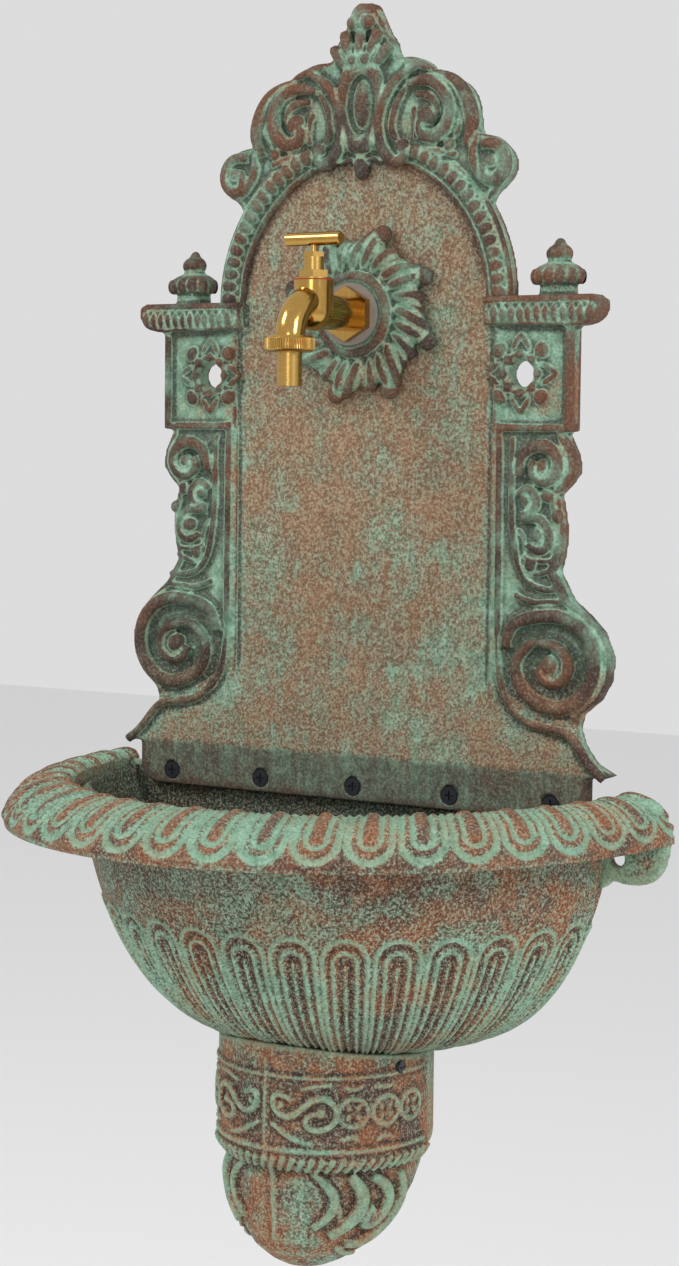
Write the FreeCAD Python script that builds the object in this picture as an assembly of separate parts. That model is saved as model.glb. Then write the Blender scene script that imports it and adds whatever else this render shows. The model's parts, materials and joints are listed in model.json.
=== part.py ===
import FreeCAD, Part
import math
import os

# Cast-iron wall fountain: back plate, half-round basin, corbel, basin waste and a brass bib tap.
# Millimetres. +Z is up, the wall is the plane y = 0 and the front faces -Y.
# The origin lies on the wall, midway between the two upper wall holes.

os.makedirs("parts", exist_ok=True)

# ---------------------------------------------------------------- driving dimensions
# back plate
WALL_HOLE_SPACING = 224.0
WALL_HOLE_R = 8.0
PLATE_T = 7.5
BLOCK_T = 10.0
BEAD_T = 12.0
PANEL_HALF = 98.0
BLOCK_HALF = 147.0
BLOCK_TOP = 29.0
BLOCK_BOTTOM = -34.0
CAP_T = 17.0
CAP_H = 17.0
CAP_HALF = 166.0
FINIAL_X = 131.5
FINIAL_H = 33.0
FINIAL_R = 16.0
ARCH_SPRING = 45.0
ARCH_R = 105.0
ARCH_BAND = 15.0
CREST_TOP = 225.5
CREST_T = 10.0
CREST_RELIEF = 5.0
FLARE_TOP = -180.0
CREASE_Z = -235.0
STRIP_H = 29.0
STRIP_HALF = 163.0
STRIP_T = 7.0
STRIP_CORNER = 10.0

# basin
FLANGE_T = 7.0
FLANGE_RISE = 11.0
BASIN_BACK_REACH = 20.0
RIM_TOP = -247.0
RIM_HALF = 212.4
RIM_DEPTH = 239.5
RIM_DROP = 26.0
RIM_WALL = 6.0
MOUTH_HALF = 174.0
MOUTH_DEPTH = 190.0
THROAT_TOP = 4.0
THROAT_FOOT = 15.0
BOWL_HALF = 177.0
BOWL_DEPTH = 173.0
BOWL_SET_BACK = 5.0
BOWL_TOP = -240.0
BOWL_H = 171.0
BOWL_WALL = 7.0
BOWL_SHARES = (0.99, 0.96, 0.91, 0.84, 0.75, 0.63, 0.49, 0.33, 0.2)
LUG_HOLE_SPACING = 358.0
LUG_HOLE_Z = -284.0
LUG_HOLE_R = 5.0
LUG_T = 8.0
LUG_END = 212.0
LUG_BOTTOM = -299.0
FOOT_H = 24.0
FOOT_WALL = 5.0
FOOT_ROOT = 8.0

# corbel
CORBEL_HALF = 66.0
CORBEL_DEPTH = 68.0
CORBEL_Y = -41.0
CORBEL_WALL = 6.0
CORBEL_BAND_BOTTOM = -468.0
CORBEL_BOTTOM = -545.0

# fasteners
STRIP_SCREW_R = 3.0
STRIP_SCREW_HEAD_R = 5.4
STRIP_SCREW_PITCH = 69.0
STRIP_SCREW_COUNT = 5
STRIP_SCREW_Z = -255.0
SET_SCREW_R = 4.0
SET_SCREW_L = 14.0
SET_SCREW_Y = -59.0
SET_SCREW_DROP = 4.7

# basin waste
WASTE_Y = -35.0
WASTE_FLANGE_R = 26.0
WASTE_FLANGE_T = 3.0
WASTE_R = 16.6
WASTE_END_R = 16.0
WASTE_BORE = 13.0
WASTE_L = 48.0
WASTE_WASHER_T = 2.0
WASTE_NUT_R = 24.0
WASTE_NUT_H = 8.0
STRAINER_HOLES = 6
STRAINER_HOLE_R = 2.6
STRAINER_CIRCLE_R = 8.5

# tap
TAP_Z = 36.5
BOSS_R = 26.5
BOSS_RING_R = 3.0
BOSS_SEAT = 21.5
BOSS_POCKET_R = 20.0
BOSS_POCKET = 14.0
ROSETTE_R = 54.0
ROSETTE_LEAVES = 8
TAP_WASHER_R = 19.0
TAP_WASHER_T = 2.5
TAP_HEX_R = 16.9
TAP_HEX_T = 5.5
TAIL_R = 10.48
TAIL_END_R = 9.9
TAIL_REACH = 10.0
BACK_NUT_R = 15.6
BACK_NUT_H = 5.5
BACK_WASHER_R = 17.5
BACK_WASHER_T = 1.5
BARREL_R = 10.5
STEM_Y = -64.5
NECK_R = 12.0
NECK_TOP = 54.5
SEAT_Z = 43.0
SEAT_R = 4.0
CHAMBER_R = 9.0
INLET_BORE_R = 5.0
SPOUT_R = 9.0
SPOUT_BORE_R = 4.5
SPOUT_BEND = 24.0
OUTLET_Z = 16.5
OUTLET_R = 12.6
OUTLET_THREAD = 3.8
GASKET_T = 0.8
BONNET_HEX_AF = 17.0
BONNET_HEX_H = 5.2
BONNET_R = 6.2
BONNET_H = 8.0
BONNET_SPIGOT = 7.3
SPINDLE_THREAD_R = 3.9
SPINDLE_THREAD_L = 7.5
SPINDLE_R = 2.2
SPINDLE_TOP_R = 2.0
VALVE_LIFT = 5.0
WASHER_R = 6.0
WASHER_T = 3.0
JUMPER_PLATE_T = 2.5
JUMPER_STEM_R = 2.0
JUMPER_STEM_L = 5.0
JUMPER_PIN_R = 1.4
WASHER_NUT_R = 3.0
WASHER_NUT_H = 2.5
PACKING_T = 2.7
GLAND_AF = 12.0
GLAND_H = 2.8
GLAND_SPIGOT = 3.4
BAR_R = 4.0
BAR_L = 38.0
BAR_Z = 79.0
UNION_NUT_R = 15.0
UNION_NUT_H = 9.5
UNION_SHOULDER = 2.0
UNION_SEAL_T = 1.8
HOSE_TAIL_R = 7.4
HOSE_TAIL_NECK_R = 8.2
HOSE_TAIL_BORE = 5.5
HOSE_TAIL_FLANGE_T = 1.5
HOSE_TAIL_L = 20.0

# clearances
CAST_GAP = 0.3
CORBEL_GAP = 1.5
SCREW_GAP = 0.2
THREAD_GAP = 0.1
RUN_GAP = 0.08
PRESS_GAP = 0.02

# ---------------------------------------------------------------- levels that follow from them
SPOUT_Y = STEM_Y - 1.5 - SPOUT_BEND
STRIP_BACK = -(FLANGE_T + CAST_GAP)
STRIP_FRONT = STRIP_BACK - STRIP_T
STRIP_BOTTOM = CREASE_Z - STRIP_H
RIM_LIP_Z = RIM_TOP - RIM_DROP
TAP_HEX_BACK = -(BOSS_SEAT + TAP_WASHER_T)
TAP_HEX_FRONT = TAP_HEX_BACK - TAP_HEX_T
BONNET_BASE = NECK_TOP + GASKET_T
BONNET_SHOULDER = BONNET_BASE + BONNET_HEX_H
BONNET_TOP = BONNET_SHOULDER + BONNET_H
SPINDLE_FOOT = SEAT_Z + WASHER_T + JUMPER_PLATE_T + 1.0
THREAD_TOP = SPINDLE_FOOT + SPINDLE_THREAD_L + VALVE_LIFT + 0.2
JUMPER_ROOM = SEAT_Z + WASHER_T + JUMPER_PLATE_T + VALVE_LIFT + 0.5
BAR_BOTTOM = BAR_Z - BAR_R
UNION_SEAL_BOTTOM = OUTLET_Z - UNION_SEAL_T
TAIL_FLANGE_BOTTOM = UNION_SEAL_BOTTOM - HOSE_TAIL_FLANGE_T
UNION_NUT_BOTTOM = TAIL_FLANGE_BOTTOM - THREAD_GAP - UNION_SHOULDER
BOWL_FLOOR = BOWL_TOP - (BOWL_H - BOWL_WALL) * BOWL_SHARES[0]
BOWL_UNDER = BOWL_TOP - BOWL_H * BOWL_SHARES[0]
SET_SCREW_Z = BOWL_UNDER - SET_SCREW_DROP
HUGE = 1000.0


# ---------------------------------------------------------------- helpers
def V(x, y, z):
    return FreeCAD.Vector(x, y, z)


def fuse(shapes):
    return shapes[0].multiFuse(shapes[1:]).removeSplitter()


def cut(shape, tools):
    for tool in tools:
        shape = shape.cut(tool)
    return shape


def both_sides(shape):
    return [shape, shape.mirror(V(0, 0, 0), V(1, 0, 0))]


def box(x0, x1, y0, y1, z0, z1):
    return Part.makeBox(x1 - x0, y1 - y0, z1 - z0, V(x0, y0, z0))


def rod(r, x, y, z0, z1):
    return Part.makeCylinder(r, z1 - z0, V(x, y, z0), V(0, 0, 1))


def rod_y(r, x, z, back, front):
    return Part.makeCylinder(r, back - front, V(x, back, z), V(0, -1, 0))


def prism(points, direction):
    return Part.Face(Part.makePolygon(points + points[:1])).extrude(direction)


def slab(outline, back, front):
    return prism([V(x, back, z) for x, z in outline], V(0, front - back, 0))


def soft_slab(outline, corner, back, front):
    """A plate with a smooth curve through the outline, closed by two straight sides at a corner."""
    curve = Part.BSplineCurve()
    curve.interpolate([V(x, back, z) for x, z in outline])
    meet = V(corner[0], back, corner[1])
    sides = [Part.LineSegment(curve.EndPoint, meet), Part.LineSegment(meet, curve.StartPoint)]
    wire = Part.Wire([curve.toShape()] + [side.toShape() for side in sides])
    return Part.Face(wire).extrude(V(0, front - back, 0))


def hexagon(r, x, y, z0, z1):
    """Upright hexagonal prism with r to its corners; two corners lie along X."""
    angles = [math.radians(60 * i) for i in range(6)]
    points = [V(x + r * math.cos(a), y + r * math.sin(a), z0) for a in angles]
    return prism(points, V(0, 0, z1 - z0))


def hexagon_y(r, z, back, front):
    """Hexagonal prism along Y, on x = 0, with corners straight up and down."""
    angles = [math.radians(60 * i) for i in range(6)]
    points = [V(r * math.sin(a), back, z + r * math.cos(a)) for a in angles]
    return prism(points, V(0, front - back, 0))


def ring_y(outer, inner, x, z, back, front):
    return rod_y(outer, x, z, back, front).cut(rod_y(inner, x, z, back + 1, front - 1))


def oval(x, y, z, half_x, half_y):
    """Horizontal ellipse; the start point is always on +X so that stacked ovals loft without a twist."""
    circle = Part.Circle(V(0, 0, 0), V(0, 0, 1), 1.0).toShape().toNurbs()
    scale = FreeCAD.Matrix()
    scale.scale(V(half_x, half_y, 1.0))
    scale.move(V(x, y, z))
    return Part.Wire(circle.transformGeometry(scale).Edges)


def stack(sections):
    """Solid whose skin runs straight from oval to oval, each (z, half width, half depth, centre y)."""
    rims = [oval(0, y, z, a, b) for z, a, b, y in sections]
    faces = [Part.makeRuledSurface(low.Edges[0], high.Edges[0]) for low, high in zip(rims, rims[1:])]
    solid = Part.makeSolid(Part.makeShell(faces + [Part.Face(rims[0]), Part.Face(rims[-1])]))
    if solid.Volume < 0:
        solid.reverse()
    return solid


# ---------------------------------------------------------------- back plate
def arch():
    plate = rod_y(ARCH_R, 0, ARCH_SPRING, 0, -PLATE_T)
    band = ring_y(ARCH_R, ARCH_R - ARCH_BAND, 0, ARCH_SPRING, 0, -BEAD_T)
    lower_half = box(-HUGE, HUGE, -HUGE, HUGE, -HUGE, ARCH_SPRING)
    return [plate, band.cut(lower_half)]


def crest():
    half = [(0, CREST_TOP - 2), (13, 209), (22, 193), (43, 187), (60, 178), (77, 163), (80, 145), (98, 133),
            (101, 118), (86, 109)]
    outline = half + [(-x, z) for x, z in reversed(half[1:])]
    ground = slab(outline, 0, -CREST_T)
    knob = rod_y(10.5, 0, CREST_TOP - 10.5, 0, -CREST_T - CREST_RELIEF)
    shell = rod_y(20.0, 0, 200.0, 0, -CREST_T - CREST_RELIEF)
    cartouche = Part.makeCylinder(20.0, CREST_T + CREST_RELIEF, V(0, 0, 164), V(0, -1, 0))
    scrolls = []
    for x, z, r in ((24, 160, 16), (56, 160, 18), (92, 124, 12)):
        scrolls += both_sides(ring_y(r, r * 0.55, x, z, 0, -CREST_T - CREST_RELIEF))
    return [ground, knob, shell, cartouche] + scrolls


def shoulder_block():
    body = box(PANEL_HALF - 2, BLOCK_HALF, -BLOCK_T, 0, BLOCK_BOTTOM, BLOCK_TOP + 1)
    rosette = rod_y(WALL_HOLE_R + 5, WALL_HOLE_SPACING / 2, 0, 0, -BLOCK_T - 2)
    top = BLOCK_TOP + CAP_H
    cap_profile = [(PANEL_HALF - 8, BLOCK_TOP), (CAP_HALF - 8, BLOCK_TOP), (CAP_HALF - 3, BLOCK_TOP + 4),
                   (CAP_HALF, top - 6), (CAP_HALF - 6, top), (PANEL_HALF - 8, top)]
    cap = slab(cap_profile, 0, -CAP_T)
    return [body, rosette, cap, finial(top)]


def finial(base):
    """Half of a turned finial, flat against the wall."""
    profile = [(0, 0), (10, 0), (8, 4), (FINIAL_R, 8), (FINIAL_R, 13), (7.5, 20), (8, 25), (3, FINIAL_H),
               (0, FINIAL_H)]
    turned = Part.Face(Part.makePolygon([V(r, 0, base - 1 + h) for r, h in profile + profile[:1]]))
    turned = turned.revolve(V(0, 0, 0), V(0, 0, 1), 360)
    turned.translate(V(FINIAL_X, 0, 0))
    return turned.cut(box(0, HUGE, 0, HUGE, -HUGE, HUGE))


def bracket():
    """Foliage and two volutes that run from a block down to the strip."""
    edge = [(PANEL_HALF - 2, BLOCK_BOTTOM + 1), (143, -40), (149, -54), (138, -70), (141, -92), (136, -120),
            (144, -130),
            (168, -153), (173, -170), (166, -190), (153, -207), (158, -220), (178, -236)]
    body = soft_slab(edge, (PANEL_HALF - 2, CREASE_Z - 1), 0, -BLOCK_T)
    upper = ring_y(19, 12, 129, -55, 0, -BLOCK_T - 3)
    leaf = rod_y(12, 124, -96, 0, -BLOCK_T - 2)
    lower = ring_y(34, 24, 137, -172, 0, -BLOCK_T - 3)
    eye = rod_y(9, 137, -172, 0, -BLOCK_T - 3)
    return [body, upper, leaf, lower, eye]


def flare():
    """The foot of the plate swells forward to a crease above the screw strip."""
    profile = [V(-HUGE, 0, FLARE_TOP), V(-HUGE, -PLATE_T, FLARE_TOP), V(-HUGE, STRIP_FRONT, CREASE_Z),
               V(-HUGE, STRIP_FRONT, CREASE_Z - 1), V(-HUGE, 0, CREASE_Z - 1)]
    swell = prism(profile, V(2 * HUGE, 0, 0))
    side = [(PANEL_HALF, FLARE_TOP + 1), (152, -210), (172, -240)]
    width = side + [(-x, z) for x, z in reversed(side)]
    return swell.common(slab(width, 1, -HUGE))


def strip():
    plate = box(-STRIP_HALF, STRIP_HALF, STRIP_FRONT, STRIP_BACK, STRIP_BOTTOM, CREASE_Z)
    along_y = [e for e in plate.Edges if e.BoundBox.YLength > 1]
    corners = [e for e in along_y if abs(e.BoundBox.ZMax - STRIP_BOTTOM) < 0.01]
    return plate.makeFillet(STRIP_CORNER, corners)


def tap_boss():
    seat = rod_y(BOSS_R, 0, TAP_Z, 0, -BOSS_SEAT)
    ring_centre = V(0, -BOSS_SEAT + BOSS_RING_R / 2, TAP_Z)
    ring = Part.makeTorus(BOSS_R - BOSS_RING_R, BOSS_RING_R, ring_centre, V(0, 1, 0))
    parts = [seat, ring, rod_y(ROSETTE_R - 12, 0, TAP_Z, 0, -PLATE_T - 3)]
    for i in range(ROSETTE_LEAVES):
        leaf = rod_y(9, 0, TAP_Z + ROSETTE_R - 9, 0, -PLATE_T - 5)
        leaf.rotate(V(0, 0, TAP_Z), V(0, 1, 0), 360.0 * i / ROSETTE_LEAVES)
        parts.append(leaf)
    return parts


def strip_screw_places():
    middle = (STRIP_SCREW_COUNT - 1) / 2
    return [(i - middle) * STRIP_SCREW_PITCH for i in range(STRIP_SCREW_COUNT)]


def countersink(x, head_r, front):
    """Cone that opens to head_r at the front face."""
    return Part.makeCone(head_r, 0.5, head_r, V(x, front, STRIP_SCREW_Z), V(0, 1, 0))


def back_plate():
    panel = box(-PANEL_HALF, PANEL_HALF, -PLATE_T, 0, CREASE_Z, ARCH_SPRING)
    parts = [panel, flare()] + arch() + crest() + tap_boss()
    for piece in shoulder_block() + bracket():
        parts += both_sides(piece)
    body = fuse(parts)
    behind_strip = box(-HUGE, HUGE, STRIP_BACK, 1, -HUGE, CREASE_Z)
    under_crease = box(-HUGE, HUGE, -HUGE, HUGE, -HUGE, CREASE_Z)
    body = fuse([body.cut(under_crease), strip().cut(behind_strip)])
    bore = rod_y(TAIL_R + SCREW_GAP, 0, TAP_Z, 1, -HUGE)
    pocket = rod_y(BOSS_POCKET_R, 0, TAP_Z, 1, -BOSS_POCKET)
    tools = [bore, pocket] + both_sides(rod_y(WALL_HOLE_R, WALL_HOLE_SPACING / 2, 0, 1, -HUGE))
    for x in strip_screw_places():
        tools.append(rod_y(STRIP_SCREW_R + SCREW_GAP, x, STRIP_SCREW_Z, 1, -HUGE))
        tools.append(countersink(x, STRIP_SCREW_HEAD_R + SCREW_GAP, STRIP_FRONT))
    return cut(body, tools)


# ---------------------------------------------------------------- basin
def bowl_share(depth, height):
    """Share of the full width left at this depth below the bowl's top plane."""
    return max(1 - (depth / height) ** 1.64, 0.0) ** (1 / 3.9)


def bowl_sections(inset, drop=0.0):
    """Ovals of the bowl's wall from its flat floor upward; inset moves the wall inward."""
    height = BOWL_H - inset
    sections = []
    for share in BOWL_SHARES:
        depth = height * share
        s = bowl_share(depth, height)
        half, reach = (BOWL_HALF - inset) * s, (BOWL_DEPTH - inset) * s
        sections.append((BOWL_TOP - depth - drop, half, reach, -BOWL_SET_BACK))
    return sections


def rim_sections(inset):
    """Convex lip from the underside of the rim up to its crown."""
    a = RIM_HALF - inset
    b = RIM_DEPTH - inset
    return [(RIM_LIP_Z, a, b, 0), (RIM_LIP_Z + 0.25 * RIM_DROP, a - 1, b - 1, 0),
            (RIM_LIP_Z + 0.6 * RIM_DROP, a - 6, b - 8, 0), (RIM_LIP_Z + 0.85 * RIM_DROP, a - 14, b - 20, 0),
            (RIM_TOP - inset, a - 26, b - 36, 0)]


def under_rim_sections():
    """Hollow underside of the rim, from the bowl's wall out to the lip."""
    inner = RIM_WALL - 1
    return [throat_foot(inner), (RIM_TOP - THROAT_TOP - inner, MOUTH_HALF + 6, MOUTH_DEPTH + 6, 0),
            (RIM_TOP - RIM_WALL - 1, RIM_HALF - 27, RIM_DEPTH - 39, 0)] + rim_sections(RIM_WALL)[::-1][1:]


def throat_foot(grow):
    return (RIM_TOP - THROAT_FOOT, MOUTH_HALF - 3 + grow, MOUTH_DEPTH - 9 + grow, -2)


def throat_sections(grow):
    """Funnel from the rim's mouth down to the bowl's wall."""
    return [(RIM_TOP - THROAT_TOP, MOUTH_HALF + grow, MOUTH_DEPTH + grow, 0), throat_foot(grow)]


def corbel_sections(inset):
    a = CORBEL_HALF - inset
    b = CORBEL_DEPTH - inset
    y = CORBEL_Y
    bead = CORBEL_BAND_BOTTOM
    return [(CORBEL_BOTTOM + inset, 5, 5, y - 20), (CORBEL_BOTTOM + 7 + inset / 2, a - 44, b - 44, y - 18),
            (CORBEL_BOTTOM + 20, a - 28, b - 28, y - 12), (CORBEL_BOTTOM + 45, a - 15, b - 17, y - 3),
            (bead - 6, a - 11, b - 12, y + 2), (bead, a - 3, b - 3, y), (bead + 4, a, b, y),
            (BOWL_TOP - BOWL_H + 20, a, b, y)]


def shell(outer, inner):
    """Open-topped thin wall: up the outer ovals and back down the inner ones."""
    return stack(outer + inner[::-1])


def foot_ring():
    """Spigot under the bowl that the corbel slips over."""
    a = CORBEL_HALF - CORBEL_WALL - CAST_GAP
    b = CORBEL_DEPTH - CORBEL_WALL - CAST_GAP
    top = BOWL_UNDER + FOOT_ROOT
    bottom = BOWL_UNDER - FOOT_H
    outer = [(bottom, a, b, CORBEL_Y), (top, a, b, CORBEL_Y)]
    inner = [(bottom, a - FOOT_WALL, b - FOOT_WALL, CORBEL_Y), (top, a - FOOT_WALL, b - FOOT_WALL, CORBEL_Y)]
    return stack(outer).cut(stack(inner))


def lug():
    profile = [(BOWL_HALF - 8, RIM_TOP - 8), (LUG_END - 10, RIM_TOP - 8), (LUG_END, RIM_LIP_Z + 2),
               (LUG_END, RIM_LIP_Z - 8), (LUG_END - 7, LUG_BOTTOM + 6), (LUG_END - 20, LUG_BOTTOM),
               (BOWL_HALF - 2, LUG_BOTTOM), (BOWL_HALF - 10, LUG_BOTTOM - 6)]
    return slab(profile, 0, -LUG_T)


def basin():
    outside = bowl_sections(0) + under_rim_sections() + rim_sections(0)
    wall = shell(outside, bowl_sections(BOWL_WALL) + throat_sections(0)[::-1])
    behind_wall = box(-HUGE, HUGE, 0, HUGE, -HUGE, HUGE)
    back = stack(bowl_sections(BOWL_WALL / 2) + throat_sections(BOWL_WALL / 2)[::-1])
    back = back.common(box(-HUGE, HUGE, -FLANGE_T, 0, -HUGE, HUGE))
    flange_half = STRIP_HALF - STRIP_CORNER
    flange = box(-flange_half, flange_half, -FLANGE_T, 0, RIM_TOP - 20, RIM_TOP + FLANGE_RISE)
    body = fuse([wall.cut(behind_wall), back, flange, foot_ring()] + both_sides(lug()))
    tools = [behind_wall, rod(WASTE_R + 1, 0, WASTE_Y, -HUGE, HUGE)]
    tools += both_sides(rod_y(LUG_HOLE_R, LUG_HOLE_SPACING / 2, LUG_HOLE_Z, 1, -LUG_T - 6))
    for x in strip_screw_places():
        tools.append(rod_y(STRIP_SCREW_R + SCREW_GAP, x, STRIP_SCREW_Z, 1, -BASIN_BACK_REACH))
    tools += both_sides(set_screw_hole(SET_SCREW_R + THREAD_GAP))
    return cut(body, tools)


# ---------------------------------------------------------------- corbel and its set screws
def set_screw_hole(r):
    return Part.makeCylinder(r, 30, V(CORBEL_HALF - 22, SET_SCREW_Y, SET_SCREW_Z), V(1, 0, 0))


def corbel():
    wall = shell(corbel_sections(0), corbel_sections(CORBEL_WALL))
    under_bowl = stack(bowl_sections(0, CORBEL_GAP))
    tools = [box(-HUGE, HUGE, 0, HUGE, -HUGE, HUGE), under_bowl]
    tools += both_sides(set_screw_hole(SET_SCREW_R + SCREW_GAP))
    return cut(wall, tools)


def corbel_set_screws():
    out = CORBEL_HALF - 1.0
    screw = Part.makeCylinder(SET_SCREW_R, SET_SCREW_L, V(out, SET_SCREW_Y, SET_SCREW_Z), V(-1, 0, 0))
    slot = box(out - 1.2, out + 1, SET_SCREW_Y - 3, SET_SCREW_Y + 3, SET_SCREW_Z - 0.5, SET_SCREW_Z + 0.5)
    return Part.makeCompound(both_sides(screw.cut(slot)))


def strip_screws():
    screws = []
    for x in strip_screw_places():
        head = countersink(x, STRIP_SCREW_HEAD_R, STRIP_FRONT)
        shank = rod_y(STRIP_SCREW_R, x, STRIP_SCREW_Z, -1, STRIP_FRONT + 2)
        screw = head.fuse(shank)
        for w, h in ((3.0, 0.5), (0.5, 3.0)):
            slot = box(x - w, x + w, STRIP_FRONT - 1, STRIP_FRONT + 1.5,
                       STRIP_SCREW_Z - h, STRIP_SCREW_Z + h)
            screw = screw.cut(slot)
        screws.append(screw)
    return Part.makeCompound(screws)


# ---------------------------------------------------------------- basin waste
def washer(outer, inner, x, y, z0, z1):
    return rod(outer, x, y, z0, z1).cut(rod(inner, x, y, z0 - 1, z1 + 1))


def waste_strainer():
    seat = BOWL_FLOOR + WASTE_WASHER_T
    top = seat + WASTE_FLANGE_T
    bottom = top - WASTE_L
    body = fuse([rod(WASTE_FLANGE_R, 0, WASTE_Y, seat, top),
                 rod(WASTE_R, 0, WASTE_Y, waste_nut_bottom(), top),
                 rod(WASTE_END_R, 0, WASTE_Y, bottom, waste_nut_bottom())])
    body = body.cut(rod(WASTE_BORE, 0, WASTE_Y, bottom - 1, seat))
    for i in range(STRAINER_HOLES):
        hole = rod(STRAINER_HOLE_R, STRAINER_CIRCLE_R, WASTE_Y, seat - 1, top + 1)
        hole.rotate(V(0, WASTE_Y, 0), V(0, 0, 1), 360.0 * i / STRAINER_HOLES)
        body = body.cut(hole)
    return body.cut(rod(STRAINER_HOLE_R, 0, WASTE_Y, seat - 1, top + 1))


def waste_nut_bottom():
    return BOWL_UNDER - WASTE_WASHER_T - WASTE_NUT_H


def waste_washer():
    top = BOWL_FLOOR + WASTE_WASHER_T
    return washer(WASTE_FLANGE_R - 1, WASTE_R + SCREW_GAP, 0, WASTE_Y, BOWL_FLOOR, top)


def waste_lower_washer():
    return washer(WASTE_NUT_R, WASTE_R + SCREW_GAP, 0, WASTE_Y, BOWL_UNDER - WASTE_WASHER_T, BOWL_UNDER)


def waste_nut():
    top = BOWL_UNDER - WASTE_WASHER_T
    nut = hexagon(WASTE_NUT_R, 0, WASTE_Y, top - WASTE_NUT_H, top)
    return nut.cut(rod(WASTE_R + THREAD_GAP, 0, WASTE_Y, top - WASTE_NUT_H - 1, top + 1))


# ---------------------------------------------------------------- tap: fixed pieces
def spout_arc(r, start_angle):
    """Quarter bend from the body forward and down to the outlet."""
    centre = V(0, SPOUT_Y + SPOUT_BEND, OUTLET_Z + 2)
    start = V(0, centre.y, centre.z + SPOUT_BEND)
    face = Part.Face(Part.Wire(Part.Circle(start, V(0, -1, 0), r).toShape()))
    face.rotate(centre, V(1, 0, 0), start_angle)
    return face.revolve(centre, V(1, 0, 0), 90 - start_angle)


def tap_body():
    step = -BOSS_POCKET + BACK_WASHER_T + BACK_NUT_H
    outside = [rod_y(TAIL_R, 0, TAP_Z, step, TAP_HEX_BACK - 1),
               rod_y(TAIL_END_R, 0, TAP_Z, TAIL_REACH, step),
               hexagon_y(TAP_HEX_R, TAP_Z, TAP_HEX_BACK, TAP_HEX_FRONT),
               rod_y(BARREL_R, 0, TAP_Z, TAP_HEX_FRONT + 1, STEM_Y),
               rod(NECK_R, 0, STEM_Y, TAP_Z, NECK_TOP), Part.makeSphere(NECK_R, V(0, STEM_Y, TAP_Z)),
               spout_arc(SPOUT_R, 0), rod(SPOUT_R, 0, SPOUT_Y, OUTLET_Z, OUTLET_Z + 2),
               rod(OUTLET_R, 0, SPOUT_Y, OUTLET_Z, OUTLET_Z + OUTLET_THREAD)]
    bore_z = SEAT_Z - 5.5 - INLET_BORE_R
    bores = [rod_y(INLET_BORE_R, 0, TAP_Z, TAIL_REACH + 1, -50),
             rod_y(INLET_BORE_R, 0, bore_z, -48, STEM_Y - SEAT_R + 1),
             rod(SEAT_R, 0, STEM_Y, bore_z, SEAT_Z + 1), rod(CHAMBER_R, 0, STEM_Y, SEAT_Z, NECK_TOP + 1),
             spout_arc(SPOUT_BORE_R, 10), rod(SPOUT_BORE_R, 0, SPOUT_Y, OUTLET_Z - 1, OUTLET_Z + 2)]
    return cut(fuse(outside), bores)


def tap_washer():
    return ring_y(TAP_WASHER_R, TAIL_R + SCREW_GAP, 0, TAP_Z, -BOSS_SEAT, TAP_HEX_BACK)


def back_washer():
    return ring_y(BACK_WASHER_R, TAIL_R + SCREW_GAP, 0, TAP_Z, -BOSS_POCKET + BACK_WASHER_T, -BOSS_POCKET)


def back_nut():
    front = -BOSS_POCKET + BACK_WASHER_T
    nut = hexagon_y(BACK_NUT_R, TAP_Z, front + BACK_NUT_H, front)
    return nut.cut(rod_y(TAIL_R + THREAD_GAP, 0, TAP_Z, 1, TAP_HEX_BACK))


def bonnet_gasket():
    return washer(NECK_R, CHAMBER_R + SCREW_GAP, 0, STEM_Y, NECK_TOP, BONNET_BASE)


def bonnet():
    corner = BONNET_HEX_AF / math.sqrt(3)
    spigot = rod(CHAMBER_R - THREAD_GAP, 0, STEM_Y, BONNET_BASE - GASKET_T - BONNET_SPIGOT, BONNET_BASE)
    flange = rod(NECK_R - 1, 0, STEM_Y, BONNET_BASE, BONNET_BASE + 0.8)
    hexagonal = hexagon(corner, 0, STEM_Y, BONNET_BASE, BONNET_SHOULDER)
    barrel = rod(BONNET_R, 0, STEM_Y, BONNET_SHOULDER, BONNET_TOP)
    bores = [rod(WASHER_R + 0.5, 0, STEM_Y, 0, JUMPER_ROOM),
             rod(SPINDLE_THREAD_R + RUN_GAP, 0, STEM_Y, 0, THREAD_TOP),
             rod(packing_r() + THREAD_GAP, 0, STEM_Y, THREAD_TOP, BONNET_TOP + 1)]
    return cut(fuse([spigot, flange, hexagonal, barrel]), bores)


def packing_r():
    return BONNET_R - 1.5


def gland_packing():
    return washer(packing_r(), SPINDLE_R + RUN_GAP, 0, STEM_Y, THREAD_TOP, THREAD_TOP + PACKING_T)


def gland_nut():
    corner = GLAND_AF / math.sqrt(3)
    bottom = BONNET_TOP - GLAND_SPIGOT
    nut = hexagon(corner, 0, STEM_Y, BONNET_TOP, BONNET_TOP + GLAND_H)
    nut = nut.fuse(rod(packing_r(), 0, STEM_Y, bottom, BONNET_TOP))
    return nut.cut(rod(SPINDLE_R + RUN_GAP, 0, STEM_Y, bottom - 1, BONNET_TOP + GLAND_H + 1))


# ---------------------------------------------------------------- tap: moving pieces
def jumper():
    plate_bottom = SEAT_Z + WASHER_T
    plate_top = plate_bottom + JUMPER_PLATE_T
    pin = rod(JUMPER_PIN_R, 0, STEM_Y, SEAT_Z - WASHER_NUT_H, plate_bottom)
    stem = rod(JUMPER_STEM_R, 0, STEM_Y, plate_top, SPINDLE_FOOT + JUMPER_STEM_L)
    return fuse([pin, rod(WASHER_R, 0, STEM_Y, plate_bottom, plate_top), stem])


def valve_washer():
    return washer(WASHER_R, JUMPER_PIN_R + THREAD_GAP, 0, STEM_Y, SEAT_Z, SEAT_Z + WASHER_T)


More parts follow.
